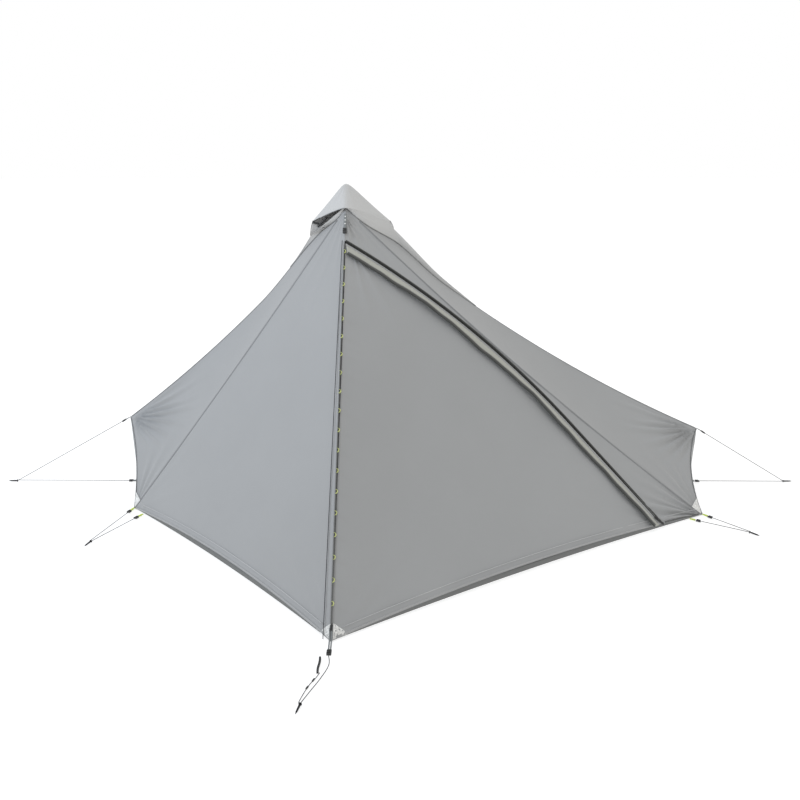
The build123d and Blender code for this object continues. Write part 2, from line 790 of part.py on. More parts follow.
# ---------------------------------------------------------------- cords
def make_straight_cord(start, stop):
    """Taut cord between two points."""
    run = (stop - start).normalized()
    with BuildPart() as cord:
        with BuildSketch(Plane(origin=start, z_dir=run)):
            Circle(CORD / 2)
        extrude(amount=(stop - start).length)
    return cord.part


def route_radii(points):
    """Arc radius at each inner point of a route: as large as its two runs allow."""
    radii = []
    for before, here, after in zip(points, points[1:], points[2:]):
        turn = radians((here - before).get_angle(after - here))
        shorter = min((here - before).length, (after - here).length)
        radii.append(0.45 * shorter / tan(turn / 2))
    return radii


def make_loose_cord(name, route):
    """Loose cord along a hand-laid route, as runs joined by tangent arcs."""
    points = [Vector(*point) + Vector(PEAK_X, 0, 0) for point in route]
    radii = route_radii(points)
    print(name, "radii", [round(radius, 1) for radius in radii])
    with BuildPart() as cord:
        with BuildLine() as path:
            FilletPolyline(*points, radius=radii)
        with BuildSketch(Plane(origin=path.line @ 0, z_dir=path.line % 0)):
            Circle(CORD / 2)
        sweep()
    length = sum(edge.length for edge in path.line.edges())
    print(name, "length", round(length, 1), "volume over section", cord.part.volume / (pi * CORD**2 / 4))
    return cord.part


def ridge_cord_points():
    """Ends of the thin cord that runs down beside the front ridge to the tip."""
    plane = panel_plane(LEFT, FRONT)
    crown = Vector(*flat_on(plane, crown_point(FRONT)))
    down = crown.normalized() * -1
    aside = Vector(-down.Y, down.X)
    if aside.X < 0:
        aside = -aside
    start = crown + down * RIDGE_CORD_START + aside * RIDGE_CORD_ASIDE
    stop = crown + down * (ridge_length(FRONT) - RIDGE_CORD_STOP) + aside * RIDGE_CORD_FOOT_ASIDE
    lift = plane.z_dir * RIDGE_CORD_STAND
    return plane.from_local_coords(start) + lift, plane.from_local_coords(stop) + lift


# ---------------------------------------------------------------- groundsheet
def plan_outline():
    """The fly's plan, going round from the front tip."""
    points = [tip_point(FRONT), corner_point(RIGHT, FRONT), hem_middle(RIGHT)]
    points += [corner_point(RIGHT, BACK), tip_point(BACK), corner_point(LEFT, BACK)]
    points += [hem_middle(LEFT), corner_point(LEFT, FRONT)]
    return [(point.X, point.Y) for point in points]


def make_groundsheet():
    """Flat base of the groundsheet, inside the hem."""
    with BuildPart() as sheet:
        with BuildSketch(Plane.XY):
            with BuildLine():
                Polyline(*plan_outline(), close=True)
            make_face()
            offset(amount=-SHEET_INSET, kind=Kind.INTERSECTION, mode=Mode.REPLACE)
        extrude(amount=SHEET_THICK)
    return sheet.part


def make_walls(sheet):
    """Low upright walls along the groundsheet's edges."""
    base = sheet.faces().sort_by(Axis.Z)[0]
    with BuildPart() as walls:
        for edge in base.outer_wire().edges():
            start, stop = edge @ 0, edge @ 1
            centre = Vector((start.X + stop.X) / 2, (start.Y + stop.Y) / 2, SHEET_THICK)
            with BuildSketch(Plane(origin=centre, x_dir=stop - start, z_dir=(0, 0, 1))):
                Rectangle(edge.length - 2 * SEAM_GAP, SHEET_THICK)
            extrude(amount=SHEET_WALL - SHEET_THICK)
    return walls.part


# ---------------------------------------------------------------- A-frame
def pole_plane(side, along=0.0):
    """Plane square to a pole: origin at its crown pin, x along X, z down the pole."""
    pin = Vector(PEAK_X, side * CROWN_PIN_SET, CROWN_PIN_HEIGHT)
    run = (foot_point(side) - pin).normalized()
    return Plane(origin=pin + run * along, x_dir=(1, 0, 0), z_dir=run)


def foot_point(side):
    """Middle of the underside of a pole's foot."""
    lean = atan2(FOOT_SPREAD - CROWN_PIN_SET, CROWN_PIN_HEIGHT)
    height = SHEET_THICK + GROUND_CLEAR + TIP_RADIUS * sin(lean)
    return Vector(PEAK_X, side * FOOT_SPREAD, height)


def pole_length(side):
    """Distance from the crown pin to the underside of the foot."""
    return (foot_point(side) - pole_plane(side).origin).length


def make_crown():
    """Crown block that both poles hang from, slotted for their eyes."""
    with BuildPart() as crown:
        with BuildSketch(Plane.XY.offset(CROWN_PIN_HEIGHT - CROWN_SIDE)):
            with Locations((PEAK_X, 0)):
                RectangleRounded(CROWN_WIDTH, 2 * (CROWN_PIN_SET + CROWN_SIDE / 2), 6)
        extrude(amount=CROWN_SIDE + CROWN_TOP)
        for side in SIDES:
            with BuildSketch(Plane.YZ.offset(PEAK_X)):
                with Locations((side * CROWN_PIN_SET, CROWN_PIN_HEIGHT - CROWN_SIDE)):
                    Rectangle(4 * EYE_RADIUS, 2 * (CROWN_SIDE + EYE_RADIUS + 2 * EYE_CLEAR))
            extrude(amount=EYE_WIDTH / 2 + EYE_CLEAR, both=True, mode=Mode.SUBTRACT)
            with BuildSketch(Plane.YZ.offset(PEAK_X)):
                with Locations((side * CROWN_PIN_SET, CROWN_PIN_HEIGHT)):
                    Circle(PIN_RADIUS + PIN_CLEAR)
            extrude(amount=CROWN_WIDTH, both=True, mode=Mode.SUBTRACT)
        chamfer(crown.faces().sort_by(Axis.Z)[-1].edges(), 4)
    return crown.part


def make_pins():
    """The two pins through the crown and the poles' eyes."""
    with BuildPart() as pins:
        for side in SIDES:
            with BuildSketch(Plane.YZ.offset(PEAK_X)):
                with Locations((side * CROWN_PIN_SET, CROWN_PIN_HEIGHT)):
                    Circle(PIN_RADIUS)
            extrude(amount=CROWN_WIDTH / 2, both=True)
    return pins.part


def make_upper_pole(side):
    """Upper tube with a solid eye at its top, bored for the crown pin."""
    with BuildPart() as pole:
        with BuildSketch(Plane.YZ.offset(PEAK_X)):
            with Locations((side * CROWN_PIN_SET, CROWN_PIN_HEIGHT)):
                Circle(EYE_RADIUS)
        extrude(amount=EYE_WIDTH / 2, both=True)
        with BuildSketch(pole_plane(side, EYE_RADIUS / 2)):
            Circle(EYE_WIDTH / 2 - EYE_CLEAR)
        extrude(amount=POLE_START)
        with BuildSketch(pole_plane(side, POLE_START)):
            Circle(POLE_RADIUS)
        extrude(amount=UPPER_LENGTH - POLE_START)
        with BuildSketch(pole_plane(side, POLE_START + EYE_RADIUS)):
            Circle(POLE_RADIUS - POLE_WALL)
        extrude(amount=UPPER_LENGTH, mode=Mode.SUBTRACT)
        with BuildSketch(Plane.YZ.offset(PEAK_X)):
            with Locations((side * CROWN_PIN_SET, CROWN_PIN_HEIGHT)):
                Circle(PIN_RADIUS + PIN_CLEAR)
        extrude(amount=EYE_WIDTH, both=True, mode=Mode.SUBTRACT)
    return pole.part


def make_lower_pole(side):
    """Lower tube that slides inside the upper one."""
    start = UPPER_LENGTH - OVERLAP
    outer = POLE_RADIUS - POLE_WALL - POLE_CLEAR
    with BuildPart() as pole:
        with BuildSketch(pole_plane(side, start)):
            Circle(outer)
            Circle(outer - LOWER_WALL, mode=Mode.SUBTRACT)
        extrude(amount=pole_length(side) - TIP_LENGTH - start)
    return pole.part


def make_clamp(side):
    """Clamp round the upper tube's mouth, with two ears and the lever's pin."""
    ear = CLAMP_RADIUS + CLAMP_EAR / 2
    start = UPPER_LENGTH - CLAMP_LENGTH
    with BuildPart() as clamp:
        with BuildSketch(pole_plane(side, start)):
            Circle(CLAMP_RADIUS)
            with Locations((CLAMP_RADIUS, 0)):
                Rectangle(2 * CLAMP_EAR, CLAMP_EAR_WIDTH)
            Circle(POLE_RADIUS + 0.05, mode=Mode.SUBTRACT)
        extrude(amount=CLAMP_LENGTH)
        gap = (CLAMP_LENGTH - LEVER_WIDTH) / 2 - LEVER_CLEAR
        with BuildSketch(pole_plane(side, start + gap)):
            with Locations((CLAMP_RADIUS + CLAMP_EAR, 0)):
                Rectangle(2 * CLAMP_EAR - 1, 4 * CLAMP_EAR_WIDTH)
        extrude(amount=LEVER_WIDTH + 2 * LEVER_CLEAR, mode=Mode.SUBTRACT)
        with BuildSketch(pole_plane(side, start)):
            with Locations((ear, 0)):
                Circle(PIN_RADIUS - 1)
        extrude(amount=CLAMP_LENGTH)
    return clamp.part


def make_lever(side):
    """Cam lever that tightens a clamp, lying along the pole's side when shut."""
    ear = CLAMP_RADIUS + CLAMP_EAR / 2
    start = UPPER_LENGTH - CLAMP_LENGTH / 2 - LEVER_WIDTH / 2
    with BuildPart() as lever:
        with BuildSketch(pole_plane(side, start)):
            with Locations((ear, 0)):
                Circle(LEVER_THICK - LEVER_CLEAR)
            with Locations((ear + LEVER_THICK / 2, LEVER_LENGTH / 2)):
                Rectangle(LEVER_THICK, LEVER_LENGTH)
            with Locations((ear, 0)):
                Circle(PIN_RADIUS - 1 + PIN_CLEAR * 2, mode=Mode.SUBTRACT)
        extrude(amount=LEVER_WIDTH)
    return lever.part


def make_foot(side):
    """Rubber foot on the lower tube."""
    length = pole_length(side)
    with BuildPart() as foot:
        with BuildSketch(pole_plane(side, length - TIP_LENGTH)):
            Circle(TIP_NECK)
        with BuildSketch(pole_plane(side, length)):
            Circle(TIP_RADIUS)
        loft()
        fillet(foot.edges().filter_by(GeomType.CIRCLE)[-1:], 2)
    return foot.part


# ---------------------------------------------------------------- build and write
def build_fly():
    """All the pieces of cloth and what is sewn to them."""
    parts = {"door_panel": make_door(), "fly_front_right": make_fixed_panel()}
    for end, side in ((LEFT, FRONT), (LEFT, BACK), (RIGHT, BACK)):
        parts[f"fly_{SIDE_NAMES[side]}_{END_NAMES[end]}"] = make_main_panel(end, side)
    for end in ENDS:
        parts[f"fly_{END_NAMES[end]}_end"] = make_end(end)
        parts[f"vent_prop_{END_NAMES[end]}"] = make_prop(end)
        for side in SIDES:
            parts[f"fly_{END_NAMES[end]}_shoulder_{SIDE_NAMES[side]}"] = make_shoulder(end, side)
    parts["peak_hood"] = make_hood()
    parts["hood_skirts"] = make_skirts()
    parts["groundsheet"] = make_groundsheet()
    parts["groundsheet_walls"] = make_walls(parts["groundsheet"])
    return parts


def build_fittings():
    """Zip, ridge fittings, webbing, tensioners and pegs."""
    return {
        "zip_track_fly": make_band(COIL_GAP, TAPE_WIDTH, 0, TAPE_THICK),
        "zip_track_door": make_band(-TAPE_WIDTH, -COIL_GAP, 0, TAPE_THICK),
        "storm_flap": make_band(-FLAP_START - FLAP_WIDTH, -FLAP_START, FLAP_LIFT, FLAP_LIFT + FLAP_THICK),
        "zip_slider": make_slider(),
        "zip_pull": make_pull(),
        "ridge_tapes": make_ridge_tapes(),
        "ridge_tabs": make_tabs(),
        "peak_strap": make_strap(),
        "buckles": make_buckles(),
        "tip_straps": make_tip_straps(),
        "webbing_loops": make_loops(),
        "line_tensioners": make_locks(),
        "pegs": make_pegs(),
    }


def build_poles():
    """The A-frame: crown, pins and two telescoping poles."""
    parts = {"pole_crown": make_crown(), "crown_pins": make_pins()}
    for side in SIDES:
        name = SIDE_NAMES[side]
        parts[f"{name}_pole_upper"] = make_upper_pole(side)
        parts[f"{name}_pole_lower"] = make_lower_pole(side)
        parts[f"{name}_pole_clamp"] = make_clamp(side)
        parts[f"{name}_pole_lever"] = make_lever(side)
        parts[f"{name}_pole_foot"] = make_foot(side)
    return parts


def build_cords():
    """Every cord: the taut ones straight, the loose ones along their routes."""
    parts = {}
    for name, (start, stop) in guy_lines().items():
        leave = line_plane(start, stop, LOOP_GAP + LOOP_LENGTH + LOCK_LENGTH + 2)
        parts[f"guy_{name}"] = make_straight_cord(leave.origin, stop)
    parts["ridge_cord"] = make_straight_cord(*ridge_cord_points())
    back = tip_plane(BACK, TIP_STRAP_LENGTH + BUCKLE_LENGTH + 2).origin + Vector(0, 0, BUCKLE_THICK / 2)
    parts["tip_cord_back"] = make_straight_cord(back, peg_point("back"))
    parts["tip_cord_front"] = make_loose_cord("tip_cord_front", TIP_CORD_ROUTE)
    parts["tip_tail_front"] = make_loose_cord("tip_tail_front", TIP_TAIL_ROUTE)
    return parts


os.makedirs("parts", exist_ok=True)
for title, piece in {**build_fly(), **build_fittings(), **build_poles(), **build_cords()}.items():
    piece.label = title
    export_step(piece, f"parts/{title}.step")
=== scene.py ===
"""Pyramid shelter: cloth, zip, webbing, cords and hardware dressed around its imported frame.

Metres, +Z up, ground at z = 0, front (the door side) towards -Y.
"""

import json
import logging
import math
from contextlib import contextmanager
from dataclasses import dataclass, field
from enum import Enum, IntEnum
from math import cos, pi, radians, sin
from typing import Callable, Iterable, Iterator, Sequence

import bmesh
import bpy
import numpy as np
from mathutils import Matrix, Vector

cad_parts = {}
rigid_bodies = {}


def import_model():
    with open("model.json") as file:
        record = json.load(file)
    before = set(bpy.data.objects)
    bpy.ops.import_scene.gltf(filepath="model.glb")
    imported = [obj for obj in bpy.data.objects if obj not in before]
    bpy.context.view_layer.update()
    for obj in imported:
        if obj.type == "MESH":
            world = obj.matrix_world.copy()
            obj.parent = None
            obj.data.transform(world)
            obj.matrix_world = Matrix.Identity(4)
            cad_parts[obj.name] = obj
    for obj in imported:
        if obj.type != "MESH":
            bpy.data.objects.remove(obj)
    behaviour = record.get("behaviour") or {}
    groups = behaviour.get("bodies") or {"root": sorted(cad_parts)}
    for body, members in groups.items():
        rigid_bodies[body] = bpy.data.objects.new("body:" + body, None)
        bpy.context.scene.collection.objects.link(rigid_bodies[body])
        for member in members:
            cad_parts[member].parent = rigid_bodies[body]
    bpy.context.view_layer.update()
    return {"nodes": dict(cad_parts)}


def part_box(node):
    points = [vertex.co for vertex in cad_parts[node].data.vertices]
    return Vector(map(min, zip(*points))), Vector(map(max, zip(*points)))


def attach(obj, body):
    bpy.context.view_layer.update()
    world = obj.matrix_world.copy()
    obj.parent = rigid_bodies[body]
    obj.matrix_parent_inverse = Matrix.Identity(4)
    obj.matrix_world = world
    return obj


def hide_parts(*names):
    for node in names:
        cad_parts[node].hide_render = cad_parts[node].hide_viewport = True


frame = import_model()

LOG = logging.getLogger("shelter")
UP = Vector((0, 0, 1))
ACROSS = Vector((1, 0, 0))
CLOTH = 0.0006
Curve = Callable[[float], Vector]
Piece = bpy.types.Object


class Way(IntEnum):
    """A direction from the middle of the shelter, -1 or 1."""

    @property
    def label(self) -> str:
        """The name in lower case, as piece names have it."""
        return self.name.lower()


class End(Way):
    """The two narrow ends."""

    LEFT = -1
    RIGHT = 1


class Side(Way):
    """The two pointed sides."""

    FRONT = -1
    BACK = 1


LEFT, RIGHT = End
FRONT, BACK = Side


class Body(str, Enum):
    """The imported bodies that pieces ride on."""

    SHELTER = "shelter"
    DOOR = "door"
    LEFT_VENT = "left_vent"
    RIGHT_VENT = "right_vent"


def by_end(left: float | Side, right: float | Side) -> dict:
    """A dataclass field with one value for each end."""
    return field(default_factory=lambda: {LEFT: left, RIGHT: right})


# ------------------------------------------------------------------ shader building
def arithmetic(operation: str, swapped: bool = False) -> Callable[["Value", object], "Value"]:
    """Makes the method of one arithmetic sign, with its sides swapped for the reflected form."""

    def method(first: "Value", second: object) -> "Value":
        """Adds one Math node and returns its result."""
        sides = {0: second, 1: first} if swapped else {0: first, 1: second}
        return first.shader.node("ShaderNodeMath", {"operation": operation}, sides)

    return method


class Value:
    """A shader socket that takes part in Python arithmetic."""

    def __init__(self, shader: "Shader", socket: bpy.types.NodeSocket) -> None:
        """Wraps a socket of a shader tree."""
        self.shader = shader
        self.socket = socket

    __add__ = __radd__ = arithmetic("ADD")
    __sub__ = arithmetic("SUBTRACT")
    __rsub__ = arithmetic("SUBTRACT", swapped=True)
    __mul__ = __rmul__ = arithmetic("MULTIPLY")
    __pow__ = arithmetic("POWER")
    above = arithmetic("GREATER_THAN")


class Shader:
    """A material whose node tree is built from typed calls."""

    def __init__(self, name: str) -> None:
        """Starts an empty node material."""
        self.material = bpy.data.materials.new(name)
        self.material.use_nodes = True
        self.tree = self.material.node_tree
        self.tree.nodes.clear()

    def node(
        self, kind: str, settings: dict[str, object] | None = None,
        inputs: dict[object, object] | None = None, output: object = 0,
    ) -> Value:
        """Adds a node.

        Args:
            kind: The node's type name.
            settings: Its own properties, set first.
            inputs: Values or linked sockets, by socket index, name or identifier.
            output: Index or name of the output to return.

        Returns:
            The chosen output, ready for arithmetic.
        """
        node = self.tree.nodes.new(kind)
        for key, value in (settings or {}).items():
            setattr(node, key, value)
        for key, value in (inputs or {}).items():
            self.feed(self.find(node.inputs, key), value)
        return Value(self, self.find(node.outputs, output))

    @staticmethod
    def find(sockets: bpy.types.bpy_prop_collection, key: object) -> bpy.types.NodeSocket:
        """Finds a socket by index, identifier or name."""
        if isinstance(key, int):
            return sockets[key]
        for socket in sockets:
            if socket.identifier == key:
                return socket
        return sockets[key]

    def feed(self, socket: bpy.types.NodeSocket, value: object) -> None:
        """Links a wrapped socket, or sets a plain value."""
        if isinstance(value, Value):
            self.tree.links.new(value.socket, socket)
        else:
            socket.default_value = value

    def noise(self, vector: Value, scale: float, detail: float = 2.0) -> Value:
        """Soft noise between 0 and 1."""
        inputs = {"Vector": vector, "Scale": scale, "Detail": detail}
        return self.node("ShaderNodeTexNoise", {}, inputs)

    def threads(self, vector: Value, axis: str, spacing: float) -> Value:
        """Even threads across one axis, a spacing in metres apart."""
        settings = {"wave_type": "BANDS", "bands_direction": axis, "wave_profile": "SIN"}
        inputs = {"Vector": vector, "Scale": 0.314 / spacing}
        return self.node("ShaderNodeTexWave", settings, inputs, "Fac")

    def mix(self, factor: object, first: object, second: object, blend: str = "MIX") -> Value:
        """Mixes two colours."""
        settings = {"data_type": "RGBA", "blend_type": blend}
        inputs = {"Factor_Float": factor, "A_Color": first, "B_Color": second}
        return self.node("ShaderNodeMix", settings, inputs, "Result_Color")

    def bump(self, height: Value, strength: float, distance: float, normal: Value | None = None) -> Value:
        """Turns a height into a normal."""
        inputs: dict[object, object] = {"Height": height, "Strength": strength, "Distance": distance}
        if normal is not None:
            inputs["Normal"] = normal
        return self.node("ShaderNodeBump", {}, inputs)

    def coordinates(self, name: str) -> Value:
        """Object or UV coordinates."""
        return self.node("ShaderNodeTexCoord", {}, {}, name)

    def close(self, inputs: dict[object, object]) -> bpy.types.Material:
        """Adds the Principled shader and the output, and returns the material."""
        surface = self.node("ShaderNodeBsdfPrincipled", {}, inputs)
        output = self.tree.nodes.new("ShaderNodeOutputMaterial")
        self.tree.links.new(surface.socket, output.inputs["Surface"])
        return self.material


def rgba(colour: Sequence[float], share: float = 1.0) -> tuple[float, float, float, float]:
    """A colour with full alpha, darkened or lightened by a share."""
    return (colour[0] * share, colour[1] * share, colour[2] * share, 1.0)


class Finish:
    """A finish whose material is made once and then kept by its name."""

    name: str

    def material(self) -> bpy.types.Material:
        """Builds the material, or finds it if it is there already."""
        found = bpy.data.materials.get(self.name)
        return found or self.nodes(Shader(self.name))


@dataclass(frozen=True)
class ClothFinish(Finish):
    """Coated ripstop cloth: a fine weave, a thicker grid of threads and soft creases."""

    name: str
    colour: tuple[float, float, float]
    roughness: float = 0.55
    sheen: float = 0.25
    ripstop: float = 0.006
    crease: float = 0.5
    mottle: float = 0.05
    shine: float = 0.35

    def nodes(self, shader: Shader) -> bpy.types.Material:
        """Weave, thread grid, faint clouds and creases."""
        place = shader.coordinates("Object")
        flat = shader.coordinates("UV")
        warp = shader.threads(flat, "X", 0.0011)
        weft = shader.threads(flat, "Y", 0.0011)
        thick_warp = shader.threads(flat, "X", self.ripstop) ** 18.0
        grid = thick_warp + shader.threads(flat, "Y", self.ripstop) ** 18.0
        clouds = shader.noise(place, 1.7, 3.0)
        patches = shader.noise(place, 7.0, 2.0)
        tone = clouds * 0.7 + patches * 0.3
        base = shader.mix(tone, rgba(self.colour, 1 - self.mottle), rgba(self.colour, 1 + self.mottle))
        base = shader.mix(grid * 0.035, base, rgba(self.colour, 0.55))
        creases = shader.noise(place, 26.0, 4.0)
        folds = shader.noise(place, 5.0, 1.0)
        normal = shader.bump(folds * 0.6 + creases * 0.4, self.crease * 0.5, 0.006)
        normal = shader.bump(warp + weft + grid * 1.5, 0.06, 0.0004, normal)
        rough = self.roughness + (creases - 0.5) * 0.12
        return shader.close({
            "Base Color": base, "Roughness": rough, "Sheen Weight": self.sheen, "Sheen Roughness": 0.6,
            "Specular IOR Level": self.shine, "Normal": normal,
        })


@dataclass(frozen=True)
class WebbingFinish(Finish):
    """Narrow woven webbing with ribs across it and darker selvedges."""

    name: str
    colour: tuple[float, float, float]
    rib: float = 0.0016
    roughness: float = 0.8

    def nodes(self, shader: Shader) -> bpy.types.Material:
        """Ribs, fuzz and worn places."""
        place = shader.coordinates("Object")
        slant = shader.node("ShaderNodeMapping", {}, {"Vector": place, "Rotation": (0.5, 0.4, 0.7)})
        ribs = shader.threads(slant, "X", self.rib)
        cross = shader.threads(slant, "Y", self.rib * 1.3)
        fuzz = shader.noise(place, 900.0, 2.0)
        worn = shader.noise(place, 40.0, 3.0)
        base = shader.mix(ribs * 0.6 + fuzz * 0.3, rgba(self.colour, 0.72), rgba(self.colour, 1.1))
        base = shader.mix(worn * 0.25, base, rgba(self.colour, 0.8))
        normal = shader.bump(ribs * 0.7 + cross * 0.3 + fuzz * 0.4, 0.5, 0.0006)
        return shader.close({
            "Base Color": base, "Roughness": self.roughness - worn * 0.1, "Sheen Weight": 0.3,
            "Normal": normal,
        })


@dataclass(frozen=True)
class CordFinish(Finish):
    """Braided cord with a pale fleck in the braid."""

    name: str
    colour: tuple[float, float, float]
    fleck: tuple[float, float, float] = (0.3, 0.3, 0.3)

    def nodes(self, shader: Shader) -> bpy.types.Material:
        """Braid with flecks."""
        place = shader.coordinates("Object")
        one = shader.node("ShaderNodeMapping", {}, {"Vector": place, "Rotation": (0.6, 0.5, 0.8)})
        two = shader.node("ShaderNodeMapping", {}, {"Vector": place, "Rotation": (-0.6, -0.5, -0.8)})
        braid = shader.threads(one, "X", 0.0022) * shader.threads(two, "X", 0.0022)
        marks = shader.threads(place, "DIAGONAL", 0.011).above(0.93)
        fuzz = shader.noise(place, 700.0, 2.0)
        base = shader.mix(braid * 0.7 + fuzz * 0.3, rgba(self.colour, 0.6), rgba(self.colour, 1.5))
        base = shader.mix(marks * 0.5, base, rgba(self.fleck))
        normal = shader.bump(braid + fuzz * 0.3, 0.6, 0.0005)
        return shader.close({"Base Color": base, "Roughness": 0.75 + fuzz * 0.1, "Normal": normal})


@dataclass(frozen=True)
class HardFinish(Finish):
    """Moulded plastic, rubber or metal with a fine grain and rubbed places."""

    name: str
    colour: tuple[float, float, float]
    metallic: float = 0.0
    roughness: float = 0.5
    grain: float = 900.0
    depth: float = 0.12
    brushed: float = 0.0

    def nodes(self, shader: Shader) -> bpy.types.Material:
        """Grain, brushing and rubbed places."""
        place = shader.coordinates("Object")
        stretch = (1.0, 1.0 - 0.9 * self.brushed, 1.0 - 0.9 * self.brushed)
        drawn = shader.node("ShaderNodeMapping", {}, {"Vector": place, "Scale": stretch})
        grain = shader.noise(drawn, self.grain, 3.0)
        rubbed = shader.noise(place, 28.0, 4.0)
        scuffs = (rubbed * 1.4 - 0.4) * 0.5
        base = shader.mix(rubbed, rgba(self.colour, 0.85), rgba(self.colour, 1.18))
        base = shader.mix(grain * 0.12, base, rgba(self.colour, 1.5))
        rough = self.roughness + (grain - 0.5) * 0.2 + scuffs * 0.12
        normal = shader.bump(grain, self.depth, 0.0003)
        return shader.close({
            "Base Color": base, "Metallic": self.metallic, "Roughness": rough, "Normal": normal,
        })


@dataclass(frozen=True)
class PatchFinish(Finish):
    """Pale laminated reinforcement with crazed creases."""

    name: str
    colour: tuple[float, float, float]

    def nodes(self, shader: Shader) -> bpy.types.Material:
        """Crease lines darkened as painted shade, over broad clouds."""
        place = shader.coordinates("Object")
        settings = {"feature": "DISTANCE_TO_EDGE"}
        cells = shader.node("ShaderNodeTexVoronoi", settings, {"Vector": place, "Scale": 85.0}, "Distance")
        broad = shader.noise(place, 60.0, 4.0)
        lines = 1.0 - cells * 4.0
        base = shader.mix(broad, rgba(self.colour, 0.60), rgba(self.colour, 1.08))
        # Darker along the crease lines: painted shade in the creases.
        base = shader.mix(lines * 0.45, base, rgba(self.colour, 0.42))
        normal = shader.bump(cells * 1.4 + broad, 0.7, 0.003)
        return shader.close({"Base Color": base, "Roughness": 0.45 + broad * 0.2, "Normal": normal})


FLY = ClothFinish("fly_ripstop", (0.30, 0.305, 0.305))
FLY_SEAM = ClothFinish("fly_seam_tape", (0.235, 0.239, 0.241), crease=0.25, sheen=0.0)
HOOD = ClothFinish("hood_ripstop", (0.48, 0.48, 0.47), mottle=0.05)
# The hood's inside is coloured lighter than its outside: painted light in the dim vent openings.
LINING_PAINTED_LIGHT = ClothFinish("hood_lining", (0.50, 0.502, 0.50), sheen=0.0)
SKIRT_SEAM = ClothFinish("skirt_seam_tape", (0.25, 0.253, 0.25), crease=0.25, sheen=0.0)
FLAP = ClothFinish("flap_ripstop", (0.35, 0.353, 0.31), crease=0.9)
# Near-black groundsheet: partly its own dark cloth, partly painted shade for the shadow under the hem.
TUB_AND_HEM_SHADOW = ClothFinish("groundsheet_cloth", (0.022, 0.023, 0.020), shine=0.05, roughness=0.85, sheen=0.0,
                  mottle=0.12)
# Pale strip along the hem's fold: painted highlight.
HEM_FOLD_HIGHLIGHT = ClothFinish("hem_fold", (0.42, 0.423, 0.42), crease=0.3)
BINDING = WebbingFinish("dark_binding", (0.035, 0.037, 0.032))
HEM_BINDING = ClothFinish("hem_binding", (0.34, 0.343, 0.34), crease=0.3)
TAB_LIME = WebbingFinish("ridge_tab_lime", (0.62, 0.67, 0.22), rib=0.0013)
LIME = WebbingFinish("lime_webbing", (0.60, 0.72, 0.07), rib=0.0013)
GREY_WEB = WebbingFinish("grey_webbing", (0.13, 0.133, 0.133))
RIDGE_TAPE = WebbingFinish("ridge_tape", (0.10, 0.102, 0.098))
THREAD = WebbingFinish("sewing_thread", (0.22, 0.225, 0.225), rib=0.0005)
PATCH = PatchFinish("reinforcement", (0.92, 0.92, 0.89))
CORD_BLACK = CordFinish("guy_cord", (0.012, 0.012, 0.012), (0.06, 0.06, 0.06))
CORD_THIN = CordFinish("thin_cord", (0.03, 0.031, 0.034), (0.08, 0.08, 0.08))
PLASTIC = HardFinish("black_acetal", (0.018, 0.018, 0.018), roughness=0.42)
COIL = HardFinish("zip_coil", (0.02, 0.021, 0.018), roughness=0.5)
SLIDER_METAL = HardFinish("slider_metal", (0.05, 0.05, 0.05), metallic=0.9, roughness=0.38)
POLE_DARK = HardFinish("anodised_tube", (0.10, 0.105, 0.11), metallic=0.9, roughness=0.36, brushed=1.0)
POLE_CLEAR = HardFinish("clear_tube", (0.62, 0.63, 0.64), metallic=1.0, roughness=0.3, brushed=1.0)
RUBBER = HardFinish("foot_rubber", (0.03, 0.03, 0.03), roughness=0.85, grain=500.0, depth=0.3)
STEEL = HardFinish("pin_steel", (0.55, 0.55, 0.55), metallic=1.0, roughness=0.3, brushed=1.0)
PEG_METAL = HardFinish("peg_anodised", (0.025, 0.025, 0.027), metallic=0.7, roughness=0.42)
DOTS = HardFinish("pale_dots", (0.8, 0.8, 0.78), roughness=0.35)


